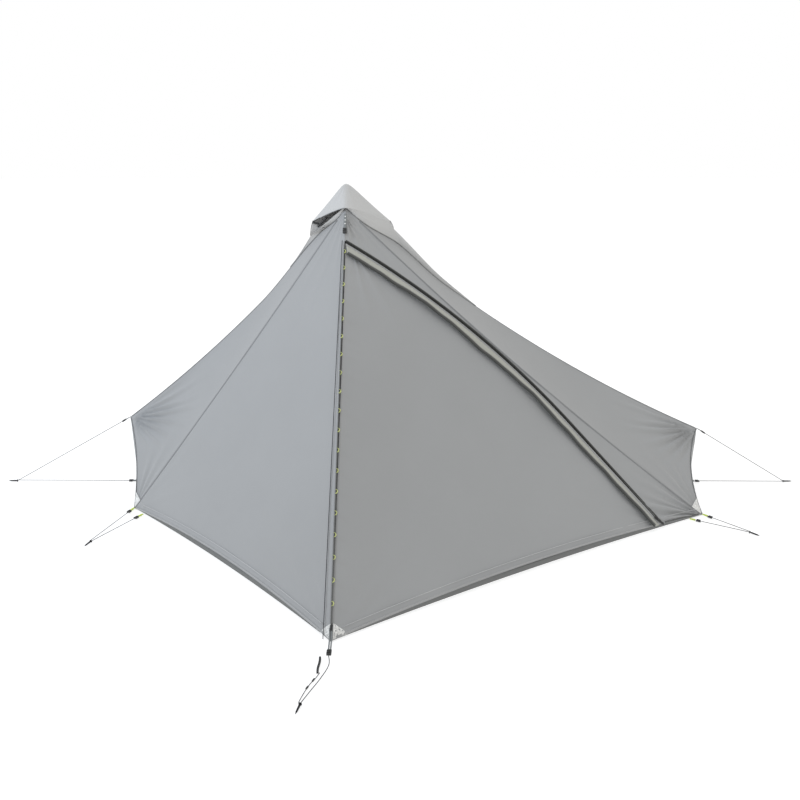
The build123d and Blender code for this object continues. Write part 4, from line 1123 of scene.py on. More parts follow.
@dataclass
class Fly:
    """The coated cloth: main panels, shoulders and ends, with seams and hem."""

    pitch: Pitch
    zip: ZipLine
    stitching: Stitching
    seam_width: float = 0.0085
    seam_thick: float = 0.0011
    hem_width: float = 0.009
    hem_up: float = 0.006
    fold_up: float = 0.026
    fold_width: float = 0.003
    zip_edge: float = 0.0062

    def build(self) -> None:
        """Builds every panel, its seams and its hems."""
        for end, side in ((LEFT, FRONT), (LEFT, BACK), (RIGHT, BACK)):
            self.main_panel(end, side)
        self.fixed_panel()
        self.door_panel()
        for end in End:
            for side in Side:
                self.shoulder(end, side)
            self.end_wall(end)
        self.seams()
        self.hems()

    def panel_name(self, end: End, side: Side) -> str:
        """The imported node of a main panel."""
        return f"fly_{side.label}_{end.label}"

    def corner_folds(self, end: End, side: Side) -> list[Fan]:
        """Folds at a main panel's tip, corner and crown."""
        tip, corner, crown = self.pitch.tip(side), self.pitch.corner(end, side), self.pitch.crown(side)
        centre = (tip + corner + crown) / 3
        flip = end * side
        return [
            Fan(tip, centre, ((-24, 5, 0.0022, 0.55), (-9, 3.5, 0.003, 0.4), (6, 4, 0.0024, 0.7),
                              (21, 3, 0.0022, 0.36))),
            Fan(corner, centre, ((flip * 22, 4, 0.004, 0.55), (flip * 9, 3, 0.003, 0.4),
                                 (-flip * 7, 5, 0.0032, 0.8), (-flip * 20, 3.5, 0.0022, 0.45))),
            Fan(crown, centre, ((-11, 2.6, 0.0024, 0.6), (1, 3, 0.002, 0.9), (12, 2.2, 0.0022, 0.5))),
        ]

    def main_panel(self, end: End, side: Side) -> None:
        """One flat-cut triangle from crown to hem."""
        pitch = self.pitch
        name = self.panel_name(end, side)
        patch = Patch(
            f"{name}_cloth", lambda share: pitch.crown(side).lerp(pitch.tip(side), share),
            lambda share: pitch.seam(end, side, share), pitch.outside(end, side),
            foot=lambda share: pitch.hem_line(end, side, share), sag=0.014,
            fans=self.corner_folds(end, side), ripple=0.0022, seed=11 + end + 3 * side,
        )
        self.finish(patch.build(FLY), name, Body.SHELTER, "fly_cloth")

    def finish(self, piece: Piece, node: str, body: Body, slot: str) -> None:
        """Rides and replaces one sheet of cloth, and works out its cut size."""
        settle(piece, body, slot, node)
        declare_sheet(piece)
        LOG.info("%s: %d faces", piece.name, len(piece.data.polygons))

    def fixed_panel(self) -> None:
        """The part of the front right panel above the zip."""
        pitch, zip_line = self.pitch, self.zip
        crown = pitch.crown(FRONT)
        ridge = (pitch.tip(FRONT) - crown)
        stop = zip_line.meet(self.zip_edge)
        top = zip_line.place(stop, self.zip_edge)
        level = (top - crown).dot(ridge.normalized()) / ridge.length
        notch = crown.lerp(pitch.tip(FRONT), level)
        lengths = ((notch - crown).length, (top - notch).length, zip_line.length * stop)
        whole = sum(lengths)

        def inner(share: float) -> Vector:
            distance = share * whole
            if distance < lengths[0]:
                return crown.lerp(notch, distance / lengths[0])
            distance -= lengths[0]
            if distance < lengths[1]:
                return notch.lerp(top, distance / lengths[1])
            return zip_line.place(stop * (1 - (distance - lengths[1]) / lengths[2]), self.zip_edge)

        fans = self.corner_folds(RIGHT, FRONT)[1:]
        corner = pitch.corner(RIGHT, FRONT)
        fans.append(Fan(corner, zip_line.place(0.12), ((-9, 3.0, 0.014, 0.46), (1, 3.0, 0.019, 0.42),
                                                      (10, 3.2, 0.026, 0.48), (19, 3.0, 0.025, 0.44),
                                                      (28, 3.0, 0.018, 0.36))))
        strap = crown.lerp(pitch.tip(FRONT), 0.03) + ACROSS * 0.006
        fans.append(Fan(strap, crown.lerp(pitch.tip(FRONT), 0.14) + ACROSS * 0.03,
                        ((-14, 5, 0.008, 0.14), (4, 5, 0.009, 0.17), (22, 6, 0.008, 0.15),
                         (42, 7, 0.006, 0.12))))
        share = 1 - zip_line.foot_from_corner / zip_line.plane.length
        patch = Patch(
            "fly_front_right_cloth", inner, lambda value: pitch.seam(RIGHT, FRONT, value),
            pitch.outside(RIGHT, FRONT), rows=360, columns=56,
            foot=lambda value: pitch.hem_line(RIGHT, FRONT, share + (1 - share) * value),
            foot_pull=14.0, sag=0.006, fans=fans, ripple=0.002, seed=21, rim=0.02,
        )
        self.finish(patch.build(FLY), "fly_front_right", Body.SHELTER, "fly_cloth")

    def door_panel(self) -> None:
        """The door, from the ridge to the zip, with its hem."""
        pitch, zip_line = self.pitch, self.zip
        tip = pitch.tip(FRONT)
        crown = pitch.crown(FRONT)
        plane = zip_line.plane
        gap = 0.006
        ridge = plane.local(crown).normalized()
        aside = Vector((ridge.y, -ridge.x)) * gap
        stop = zip_line.meet(-self.zip_edge)
        height = zip_line.at(stop, -self.zip_edge).dot(ridge)

        def ridge_edge(share: float) -> Vector:
            flat = aside + ridge * (height * (1 - share) + gap * share)
            return plane.place(flat.x, flat.y)

        foot_share = 1 - zip_line.foot_from_corner / plane.length
        centre = (tip + zip_line.place(0.0) + zip_line.place(0.7)) / 3
        fans = [
            Fan(tip, centre, ((-24, 4, 0.003, 0.6), (-8, 3, 0.0028, 0.42), (9, 4, 0.0024, 0.8),
                              (24, 3, 0.0022, 0.4))),
            Fan(zip_line.place(0.0, -0.02), centre, ((14, 5, 0.004, 0.5), (-4, 4, 0.003, 0.7),
                                                     (-20, 4, 0.003, 0.4))),
            Fan(zip_line.place(1.0, -0.02), centre, ((-16, 5, 0.003, 0.6), (2, 5, 0.0024, 0.9),
                                                     (20, 4, 0.003, 0.5))),
        ]
        patch = Patch(
            "door_cloth", ridge_edge, lambda share: zip_line.place(stop * (1 - share), -self.zip_edge),
            pitch.outside(RIGHT, FRONT), rows=130, columns=110,
            foot=lambda share: pitch.hem_line(RIGHT, FRONT, foot_share * share), sag=0.014,
            fans=fans, ripple=0.0022, seed=31,
        )
        self.finish(patch.build(FLY), "door_panel", Body.DOOR, "fly_cloth")

    def shoulder(self, end: End, side: Side) -> None:
        """Long narrow panel between a seam and the sagging end ridge."""
        pitch = self.pitch
        name = f"fly_{end.label}_shoulder_{side.label}"
        raised, corner = pitch.raised(end), pitch.corner(end, side)
        inside = pitch.ridge(end, 0.55).lerp(pitch.seam(end, side, 0.55), 0.5)
        flip = -end * side
        fans = [
            Fan(raised, inside, ((-flip * 6, 2.4, 0.012, 0.42), (flip * 2, 2.4, 0.014, 0.55),
                                 (flip * 11, 2.4, 0.019, 0.46), (flip * 20, 2.6, 0.022, 0.52),
                                 (flip * 31, 2.8, 0.024, 0.44), (flip * 43, 3.2, 0.024, 0.40),
                                 (flip * 56, 3.4, 0.021, 0.34), (flip * 70, 4, 0.017, 0.28))),
            Fan(corner, inside, ((-flip * 8, 4, 0.008, 0.5), (-flip * 22, 4, 0.010, 0.4),
                                 (-flip * 38, 5, 0.009, 0.3), (flip * 6, 3, 0.005, 0.4))),
        ]
        start = 0.015
        patch = Patch(
            f"{name}_cloth", lambda share: pitch.seam(end, side, start + (1 - start) * share),
            lambda share: pitch.vent_line(end, side, start + (1 - start) * share), pitch.outside(end, side),
            rows=150, columns=64, foot=lambda share: pitch.end_edge(end, side, share), foot_pull=9.0,
            sag=0.016, fans=fans, ripple=0.0022, seed=41 + 2 * end + side, rim=0.03,
        )
        self.finish(patch.build(FLY), name, Body.SHELTER, "fly_cloth")

    def end_wall(self, end: End) -> None:
        """Two steep facets that close an end under its lifted middle."""
        pitch = self.pitch
        pieces = []
        for side in Side:
            corner, raised = pitch.corner(end, side), pitch.raised(end)
            fans = [Fan(raised, (corner + pitch.hem_middle(end)) / 2,
                        ((-16, 5, 0.009, 0.36), (0, 4, 0.009, 0.3), (15, 4, 0.009, 0.36)))]
            patch = Patch(
                f"fly_{end.label}_end_{side.label}",
                lambda share: pitch.hem_middle(end).lerp(raised, 1 - share),
                lambda share, side=side: pitch.end_edge(end, side, 1 - share), Vector((end, 0.3 * side, 0)),
                rows=70, columns=60, sag=0.008, fans=fans, ripple=0.0015, seed=51 + side, rim=0.025,
            )
            pieces.append(patch.build(FLY, 0.0))
        name = f"fly_{end.label}_end"
        whole = joined(f"{name}_cloth", pieces)
        merge(whole.data)
        thicken(whole, CLOTH)
        self.finish(whole, name, Body.SHELTER, "fly_cloth")

    def band(self, name: str, path: list[Vector], up: Vector, width: float, finish: Finish = FLY_SEAM,
             body: Body = Body.SHELTER, stitched: bool = True, lift: float = 0.0002) -> Piece:
        """A narrow sewn band on the cloth, with a row of stitches along each edge."""
        piece = swept(name, path, up, flat_profile(width, self.seam_thick, lift), finish)
        if stitched:
            for aside in (-0.32, 0.32):
                above = up.normalized() * (self.seam_thick + lift)
                line = [spot + up.cross(tangent).normalized() * (aside * width) + above
                        for spot, tangent in zip(path, tangents(path))]
                self.stitching.add(body, line)
        return piece

    def seams(self) -> None:
        """Felled seams between the panels, on the end ridges and on the ends' edges."""
        pitch = self.pitch
        pieces = []
        for end in End:
            outs = {side: pitch.outside(end, side) for side in Side}
            for side in Side:
                name = f"{side.label}_{end.label}"
                path = sampled(lambda share: pitch.seam(end, side, share), 90, 0.04, 0.995)
                pieces.append(self.band(f"seam_{name}", path, outs[side], self.seam_width))
                path = sampled(lambda share: pitch.end_edge(end, side, share), 40, 0.01, 0.99)
                out = Vector((end, side * 0.5, 0.4)).normalized()
                pieces.append(self.band(f"edge_{name}", path, out, 0.007, FLY_SEAM))
                low = sampled(lambda share: pitch.end_edge(end, side, share), 14, 0.0, 0.3)
                pieces.append(self.band(f"corner_{name}", low, out, 0.0055, BINDING, stitched=False,
                                        lift=0.001))
            path = sampled(lambda share: pitch.ridge(end, share), 90, 0.1, 0.995)
            pieces.append(self.band(f"ridge_{end.label}", path, UP, 0.008, FLY, lift=-0.0004))
        ridge = sampled(lambda share: pitch.crown(BACK).lerp(pitch.tip(BACK), share), 60, 0.1, 0.99)
        pieces.append(self.band("seam_back", ridge, Vector((0, 1, 0.9)), 0.012))
        assemble("fly_seams", pieces, Body.SHELTER, "fly_cloth")
        LOG.info("seams: %d bands", len(pieces))

    def hems(self) -> None:
        """Turned hems along the ground, one piece for the fly and one for the door."""
        pitch = self.pitch
        split = 1 - self.zip.foot_from_corner / self.zip.plane.length
        fly = []
        for end in End:
            for side in Side:
                opens = (end, side) == (RIGHT, FRONT)
                finish = RIDGE_TAPE if opens else HEM_BINDING
                fly += self.hem(end, side, 60, (split + 0.012 if opens else 0.01, 0.99), finish)
                low, middle = pitch.corner(end, side), pitch.hem_middle(end)
                path = [low.lerp(middle, value / 12) + UP * 0.004 for value in range(13)]
                fly.append(self.band("hem", path, Vector((end, side * 0.3, 0)), 0.008, HEM_BINDING))
        assemble("fly_hems", fly, Body.SHELTER, "fly_cloth")
        door = self.hem(RIGHT, FRONT, 90, (0.012, split - 0.006), HEM_BINDING, Body.DOOR)
        assemble("door_hem", door, Body.DOOR, "fly_cloth")

    def hem(self, end: End, side: Side, steps: int, reach: tuple[float, float], finish: Finish,
            body: Body = Body.SHELTER) -> list[Piece]:
        """One panel's hem and a pale strip along its fold, a painted highlight.

        Args:
            end: The panel's end.
            side: The panel's side.
            steps: How finely the hollow edge is followed.
            reach: Where it starts and stops, as shares from the tip to the corner.
            finish: Cloth or tape of the edge band.
            body: The body whose stitching it joins.

        Returns:
            The edge band and the painted highlight along the fold.
        """
        plane = self.pitch.panel(end, side)
        path = sampled(
            lambda share: self.pitch.hem_line(end, side, share) + plane.rise * self.hem_up, steps, *reach
        )
        fold = [spot + plane.rise * self.fold_up for spot in path[2:-2]]
        return [
            self.band("hem", path, plane.normal, self.hem_width, finish, body),
            # A pale strip on the fold: painted highlight.
            self.band("hem_fold", fold, plane.normal, self.fold_width, HEM_FOLD_HIGHLIGHT, body, False, 0.0013),
        ]


def declare_sheet(piece: Piece) -> None:
    """Works out a sheet's cut size from its area, measured on the piece's own outer face; nothing is kept.
    """
    area = sum(polygon.area for polygon in piece.data.polygons)
    uvs = np.zeros(len(piece.data.uv_layers[0].data) * 2)
    piece.data.uv_layers[0].data.foreach_get("uv", uvs)
    spread = np.ptp(uvs.reshape(-1, 2), axis=0)
    wide, long = float(max(spread[0], 0.01)), float(max(spread[1], 0.01))
    share = area / (wide * long)
    if share > 1.0:
        wide *= share * 1.001
    if share < 0.3:
        wide *= share / 0.31


# ------------------------------------------------------------------ hood and vents
@dataclass
class PeakHood:
    """Cap over the peak: a ridged roof with stiffened brims, skirts and vent props."""

    pitch: Pitch
    rise: float = 0.103
    half_depth: float = 0.074
    brim_drop: float = 0.067
    brim_depth: float = 0.005
    brim_half: float = 0.003
    brim: dict[End, float] = by_end(0.168, 0.215)
    skirt_side: dict[End, Side] = by_end(BACK, FRONT)
    lip_near: dict[End, float] = by_end(0.155, 0.127)
    lip_rise: dict[End, float] = by_end(0.030, 0.048)
    lip_fade: dict[End, float] = by_end(2.0, 1.0)

    @staticmethod
    def eased(along: float, round_off: float = 0.11) -> float:
        """Distance from the peak with the fold at the peak rounded off."""
        return (math.hypot(along, round_off) - round_off) / (math.hypot(1, round_off) - round_off)

    def top(self, along: float) -> Vector:
        """Point of the hood's ridge, along from the left brim (-1) over the peak to the right (1)."""
        end = RIGHT if along > 0 else LEFT
        share = self.eased(along)
        height = self.pitch.height + self.rise + 0.006 - (self.rise + self.brim_drop + 0.006) * share
        hollow = 0.004 * sin(pi * share)
        return Vector((self.pitch.peak_x + along * self.brim[end], 0, height - hollow))

    def low(self, along: float, side: Side) -> Vector:
        """Point of the hood's lower edge."""
        end = RIGHT if along > 0 else LEFT
        share = self.eased(along)
        half = self.half_depth * (1 - share) + self.brim_half * share
        height = self.pitch.height - (self.brim_drop + self.brim_depth) * share
        hollow = 0.006 * sin(pi * share)
        x = self.pitch.peak_x + along * self.brim[end]
        return Vector((x, side * (half - hollow), height + hollow * 0.5))

    def build(self) -> None:
        """Builds the roof, its skirts, bindings and props."""
        self.roof()
        self.skirts()
        self.bindings()
        self.props()

    @staticmethod
    def lined(piece: Piece, thick: float) -> None:
        """Gives the cloth its thickness and an inside a little lighter than the hood, painted light in the
        dim insides of the vents.
        """
        piece.data.materials.append(LINING_PAINTED_LIGHT.material())
        thicken(piece, thick).material_offset = 1

    def roof(self) -> None:
        """The cap itself, front and back slopes joined along the ridge."""
        pieces = []
        apex = self.top(0.0)
        for side in Side:
            fans = []
            for end in End:
                brim = self.top(end * 1.0)
                near, far = self.low(end * 0.4, side), self.low(end * 0.3, side)
                fans.append(Fan(apex, near, ((-12, 5, 0.0022, 0.16), (10, 4, 0.002, 0.13))))
                fans.append(Fan(brim, far, ((-9, 4, 0.0022, 0.16), (6, 4, 0.002, 0.12))))
            patch = Patch(
                f"hood_{side.label}", lambda share: self.top(-1 + 2 * share),
                lambda share, side=side: self.low(-1 + 2 * share, side), Vector((0, side, 0.6)), rows=120,
                columns=26, sag=0.003, fans=fans, ripple=0.0009, ripple_scale=0.12, seed=61 + side,
                rim=0.012,
            )
            pieces.append(patch.build(HOOD, 0.0))
        whole = joined("peak_hood_cloth", pieces)
        merge(whole.data)
        self.lined(whole, 0.0009)
        settle(whole, Body.SHELTER, "hood_cloth", "peak_hood")
        declare_sheet(whole)
        LOG.info("hood: %d faces", len(whole.data.polygons))

    def lip(self, end: End, share: float) -> Vector:
        """Top of the cloth that stands up from an end ridge, a share of the way to its end."""
        near, far = self.lip_near[end], self.pitch.vent_far[end]
        spot = self.pitch.ridge(end, near + (far - near) * share)
        return spot + UP * (self.lip_rise[end] * (1 - share) ** self.lip_fade[end] + 0.005)

    def seated(self, end: End, side: Side, share: float) -> Vector:
        """Line on a shoulder from the crown to the ridge that the skirt is sewn along."""
        return self.pitch.vent_line(end, side, self.pitch.vent_far[end] * share, 0.003)

    def skirt_top(self, end: End, side: Side, share: float, brim_share: float = 0.36) -> Vector:
        """Upper edge of a skirt: the hood's edge, the brim's fall, then the lip."""
        brim = self.top(end * 1.0)
        if share < brim_share:
            return self.low(end * share / brim_share, side)
        if share < brim_share + 0.08:
            return brim.lerp(self.lip(end, 0.0), (share - brim_share) / 0.08)
        return self.lip(end, (share - brim_share - 0.08) / (0.92 - brim_share))

    def collar_top(self, end: End, side: Side, share: float) -> Vector:
        """Upper edge of the low collar under an open vent."""
        start = self.pitch.crown(side) + Vector((end * 0.012, side * 0.012, -0.002))
        if share < 0.4:
            return start.lerp(self.lip(end, 0.0), share / 0.4)
        return self.lip(end, (share - 0.4) / 0.6)

    def skirts(self) -> None:
        """Cloth that closes the hood down to the fly away from its vents, and each vent's collar."""
        pieces = []
        for end in End:
            closed = self.skirt_side[end]
            open_side = Side(-closed)
            apex = self.low(0.0, closed)
            far = self.lip(end, 1.0)
            fans = [
                Fan(apex, far, ((-4, 3, 0.0035, 0.5), (3, 3, 0.003, 0.35), (10, 4, 0.003, 0.25),
                                (-12, 4, 0.003, 0.2))),
            ]
            for side, upper, name in (
                (closed, self.skirt_top, "skirt"), (open_side, self.collar_top, "collar"),
            ):
                patch = Patch(
                    f"{name}_{end.label}", lambda share, side=side, upper=upper: upper(end, side, share),
                    lambda share, side=side: self.seated(end, side, share), Vector((end * 0.3, side, 0.4)),
                    rows=110, columns=18, sag=-0.003 if side is closed else 0.0,
                    fans=fans if side is closed else (), ripple=0.0012, ripple_scale=0.10, seed=71 + end,
                    rim=0.010,
                )
                pieces.append(patch.build(HOOD, 0.0))
        whole = joined("hood_skirts_cloth", pieces)
        merge(whole.data)
        self.lined(whole, CLOTH)
        settle(whole, Body.SHELTER, "hood_cloth", "hood_skirts")
        declare_sheet(whole)

    def bindings(self) -> None:
        """Seams along the skirts, rolled vent edges and the thin dark line of each brim."""
        pieces = []
        for end in End:
            closed = self.skirt_side[end]
            for side in Side:
                edge = sampled(lambda share: self.low(end * share, side), 40, 0.02, 0.99)
                if side is not closed:
                    outs = Vector((0, side, 0.4))
                    pieces.append(swept("vent_roll", edge, outs, round_profile(0.0018, 8), FLY_SEAM))
                path = sampled(lambda share: self.seated(end, side, share), 60, 0.03, 0.995)
                ups = self.pitch.outside(end, side)
                pieces.append(swept("skirt_seam", path, ups, flat_profile(0.0045, 0.0011), SKIRT_SEAM))
            brim = self.top(end * 1.0)
            foot = self.lip(end, 0.0)
            path = [brim.lerp(foot, step / 10) + Vector((end, 0, 0)) * (0.003 * sin(pi * step / 10))
                    for step in range(11)]
            edge = BINDING if end is LEFT else SKIRT_SEAM
            pieces.append(swept("brim_edge", path, ACROSS * end, round_profile(0.0017, 8), edge))
            upper = sampled(lambda share: self.low(end * share, Side(-closed)), 12, 0.78, 1.0)
            outs = Vector((0, -closed, 0.4))
            pieces.append(swept("brim_lead", upper, outs, round_profile(0.0024, 8), edge))
        assemble("hood_bindings", pieces, Body.SHELTER, "hood_cloth")

    def props(self) -> None:
        """Crossed struts and their hinge bar, which hold each vent open."""
        for end in End:
            node = f"vent_prop_{end.label}"
            low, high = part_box(node)
            hinge = Vector(((low.x + high.x) / 2, 0, low.z + 0.003))
            face = Side(-self.skirt_side[end])
            out = Vector((0, face, 0))

            def spot(along: float, rise: float, forward: float) -> Vector:
                return hinge + ACROSS * (end * along) + UP * rise + out * forward

            bars = (
                (spot(0.050, 0.020, 0.002), spot(-0.010, 0.008, 0.020)),
                (spot(-0.022, 0.048, 0.022), spot(0.026, 0.000, 0.008)),
                (spot(0.000, 0.000, -0.016), spot(0.000, 0.000, 0.018)),
            )
            pieces = []
            for start, stop in bars:
                path = [start.lerp(stop, step / 6) for step in range(7)]
                section = round_profile(0.0047, 12)
                pieces.append(swept("strut", path, out + UP * 0.2, section, PLASTIC))
            assemble(f"{node}_struts", pieces, Body(f"{end.label}_vent"), "black_plastic", node)


def rounded_copy(node: str, name: str, radius: float, finish: HardFinish | WebbingFinish) -> Piece:
    """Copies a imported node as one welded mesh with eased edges."""
    mesh = frame["nodes"][node].data.copy()
    mesh.name = name
    with editing(mesh) as work:
        bmesh.ops.remove_doubles(work, verts=work.verts, dist=1e-6)
        bmesh.ops.dissolve_limit(work, angle_limit=radians(1.0), verts=work.verts, edges=work.edges)
        bmesh.ops.recalc_face_normals(work, faces=work.faces)
    piece = new_object(name, mesh, finish.material())
    for key in list(piece.keys()):
        del piece[key]
    ease = piece.modifiers.new("eased edges", "BEVEL")
    ease.width = radius
    ease.segments = 2
    ease.limit_method = "ANGLE"
    ease.angle_limit = radians(35)
    ease.harden_normals = False
    ready = piece.evaluated_get(bpy.context.evaluated_depsgraph_get())
    eased = bpy.data.meshes.new_from_object(ready)
    piece.modifiers.clear()
    piece.data = eased
    eased.name = name
    sharpen(eased, 40)
    return piece


def sharpen(mesh: bpy.types.Mesh, degrees: float) -> None:
    """Shades smooth, but keeps edges sharper than an angle crisp."""
    mesh.polygons.foreach_set("use_smooth", [True] * len(mesh.polygons))
    mesh.set_sharp_from_angle(angle=radians(degrees))


# ------------------------------------------------------------------ zip and flap
@dataclass
class DoorZip:
    """Zip tapes, coil, storm flap and its bound edge, whose dark band is partly painted shadow."""

    pitch: Pitch
    line: ZipLine
    rows: ShapeRow
    stitching: Stitching
    tape: float = 0.015
    flap_start: float = 0.0155
    flap_width: float = 0.043

    def __post_init__(self) -> None:
        """Works out where the flap's two edges come to the ridge."""
        edges = (-self.flap_start, -self.flap_start - self.flap_width)
        self.tops = tuple(self.line.meet(edge, 0.010) for edge in edges)

    def build(self) -> None:
        """Builds the zip from the cloth outwards."""
        self.tapes()
        self.coil()
        self.flap()
        self.stop()

    def along(self, shift: float, lift: float, start: float, stop: float) -> list[Vector]:
        """Line beside the zip, a shift to the fixed side and lifted off the cloth."""
        return sampled(lambda share: self.line.place(share, shift, lift), 150, start, stop)

    def tapes(self) -> None:
        """Woven tapes on the fly and on the door."""
        for node, body, low, high in (
            ("zip_track_fly", Body.SHELTER, 0.0006, self.tape),
            ("zip_track_door", Body.DOOR, -self.tape, -0.0006),
        ):
            middle = (low + high) / 2
            path = self.along(middle, -0.0024, 0.002, self.line.meet(middle))
            piece = swept(f"{node}_tape", path, self.line.plane.normal, flat_profile(high - low, 0.0009),
                          BINDING)
            for shift in (low + 0.004, high - 0.004):
                if abs(shift) > 0.007:
                    self.stitching.add(body, self.along(shift, 0.0003, 0.004, 0.996))
            settle(piece, body, "dark_tape", node)

    def coil(self) -> None:
        """Interlocked coil, half of its turns on each side."""
        for body, shift in ((Body.SHELTER, 0.0014), (Body.DOOR, -0.0014)):
            shape = coil_shape(0.0036, 0.0022, 0.0005)
            path = self.along(shift, -0.0016, 0.006, self.line.meet(0.0))
            piece = self.rows.lay(
                f"zip_coil_{body.value}", [path], shape, 0.0021, self.line.plane.normal, COIL
            )
            bpy.data.objects.remove(shape)
            settle(piece, body, "dark_tape")
            LOG.info("coil on %s: %d faces", body.value, len(piece.data.polygons))

    def wave(self, share: float) -> float:
        """How far the flap's free edge wanders."""
        return 0.0022 * sin(share * 23) + 0.0016 * sin(share * 51 + 1.3)

    def flap_point(self, share: float, across: float) -> Vector:
        """Point of the flap, across from its sewn edge (0) to its free edge (1)."""
        low, high = self.tops
        share *= low + (high - low) * across
        taper = 0.82 + 0.18 * min(share * 1.6, 1.0)
        shift = -self.flap_start - across * (self.flap_width * taper + self.wave(share))
        rise = 0.0015 + 0.019 * across ** 1.5 * (0.75 + 0.25 * sin(share * 17 + 0.8))
        ripple = 0.0012 * sin(share * 95 + 3 * across) * across
        return self.line.place(share, shift, rise + ripple)

    def flap(self) -> None:
        """The storm flap, its free edge standing off the door and bound in dark tape. The tape is wide
        enough to stand also for the shadow under that edge: partly painted shadow.
        """
        patch = Patch(
            "storm_flap_cloth", lambda share: self.flap_point(1 - share, 0.0),
            lambda share: self.flap_point(1 - share, 1.0), self.line.plane.normal, rows=220, columns=12,
            sag=-0.002, rim=0.004,
        )
        piece = patch.build(FLAP)
        settle(piece, Body.DOOR, "flap_cloth", "storm_flap")
        declare_sheet(piece)
        normal = self.line.plane.normal
        free = sampled(lambda share: self.flap_point(share, 1.0), 220, 0.002, 0.998)
        # The dark binding is made wider than the tape itself so that it also stands for the shadow along
        # the flap's free edge: partly painted shadow.
        bound = swept("storm_flap_binding", free, normal,
                      [(-0.009, -0.0012), (0.009, -0.0012), (0.0096, 0.0), (0.009, 0.0014),
                       (-0.009, 0.0014)],
                      BINDING)
        settle(bound, Body.DOOR, "dark_tape")
        sewn = sampled(lambda share: self.flap_point(share, 0.06) + normal * 0.0008, 220, 0.004, 0.996)
        self.stitching.add(Body.DOOR, sewn)
        tape = self.along(0.0095, 0.0002, 0.004, self.line.meet(0.0095))
        edge = swept("zip_upper_binding", tape, normal, flat_profile(0.008, 0.0012), BINDING)
        settle(edge, Body.SHELTER, "fly_cloth")

    def stop(self) -> None:
        """Dark stop at the foot of the zip."""
        spot = self.line.place(0.001, 0.008, 0.001)
        run = (self.line.place(0.003, 0.008, 0.001) - spot).normalized()
        path = [spot + run * (step * 0.003 - 0.004) for step in range(4)]
        stop = swept("zip_stops", path, self.line.plane.normal, flat_profile(0.013, 0.0022), PLASTIC)
        settle(stop, Body.SHELTER, "black_plastic")


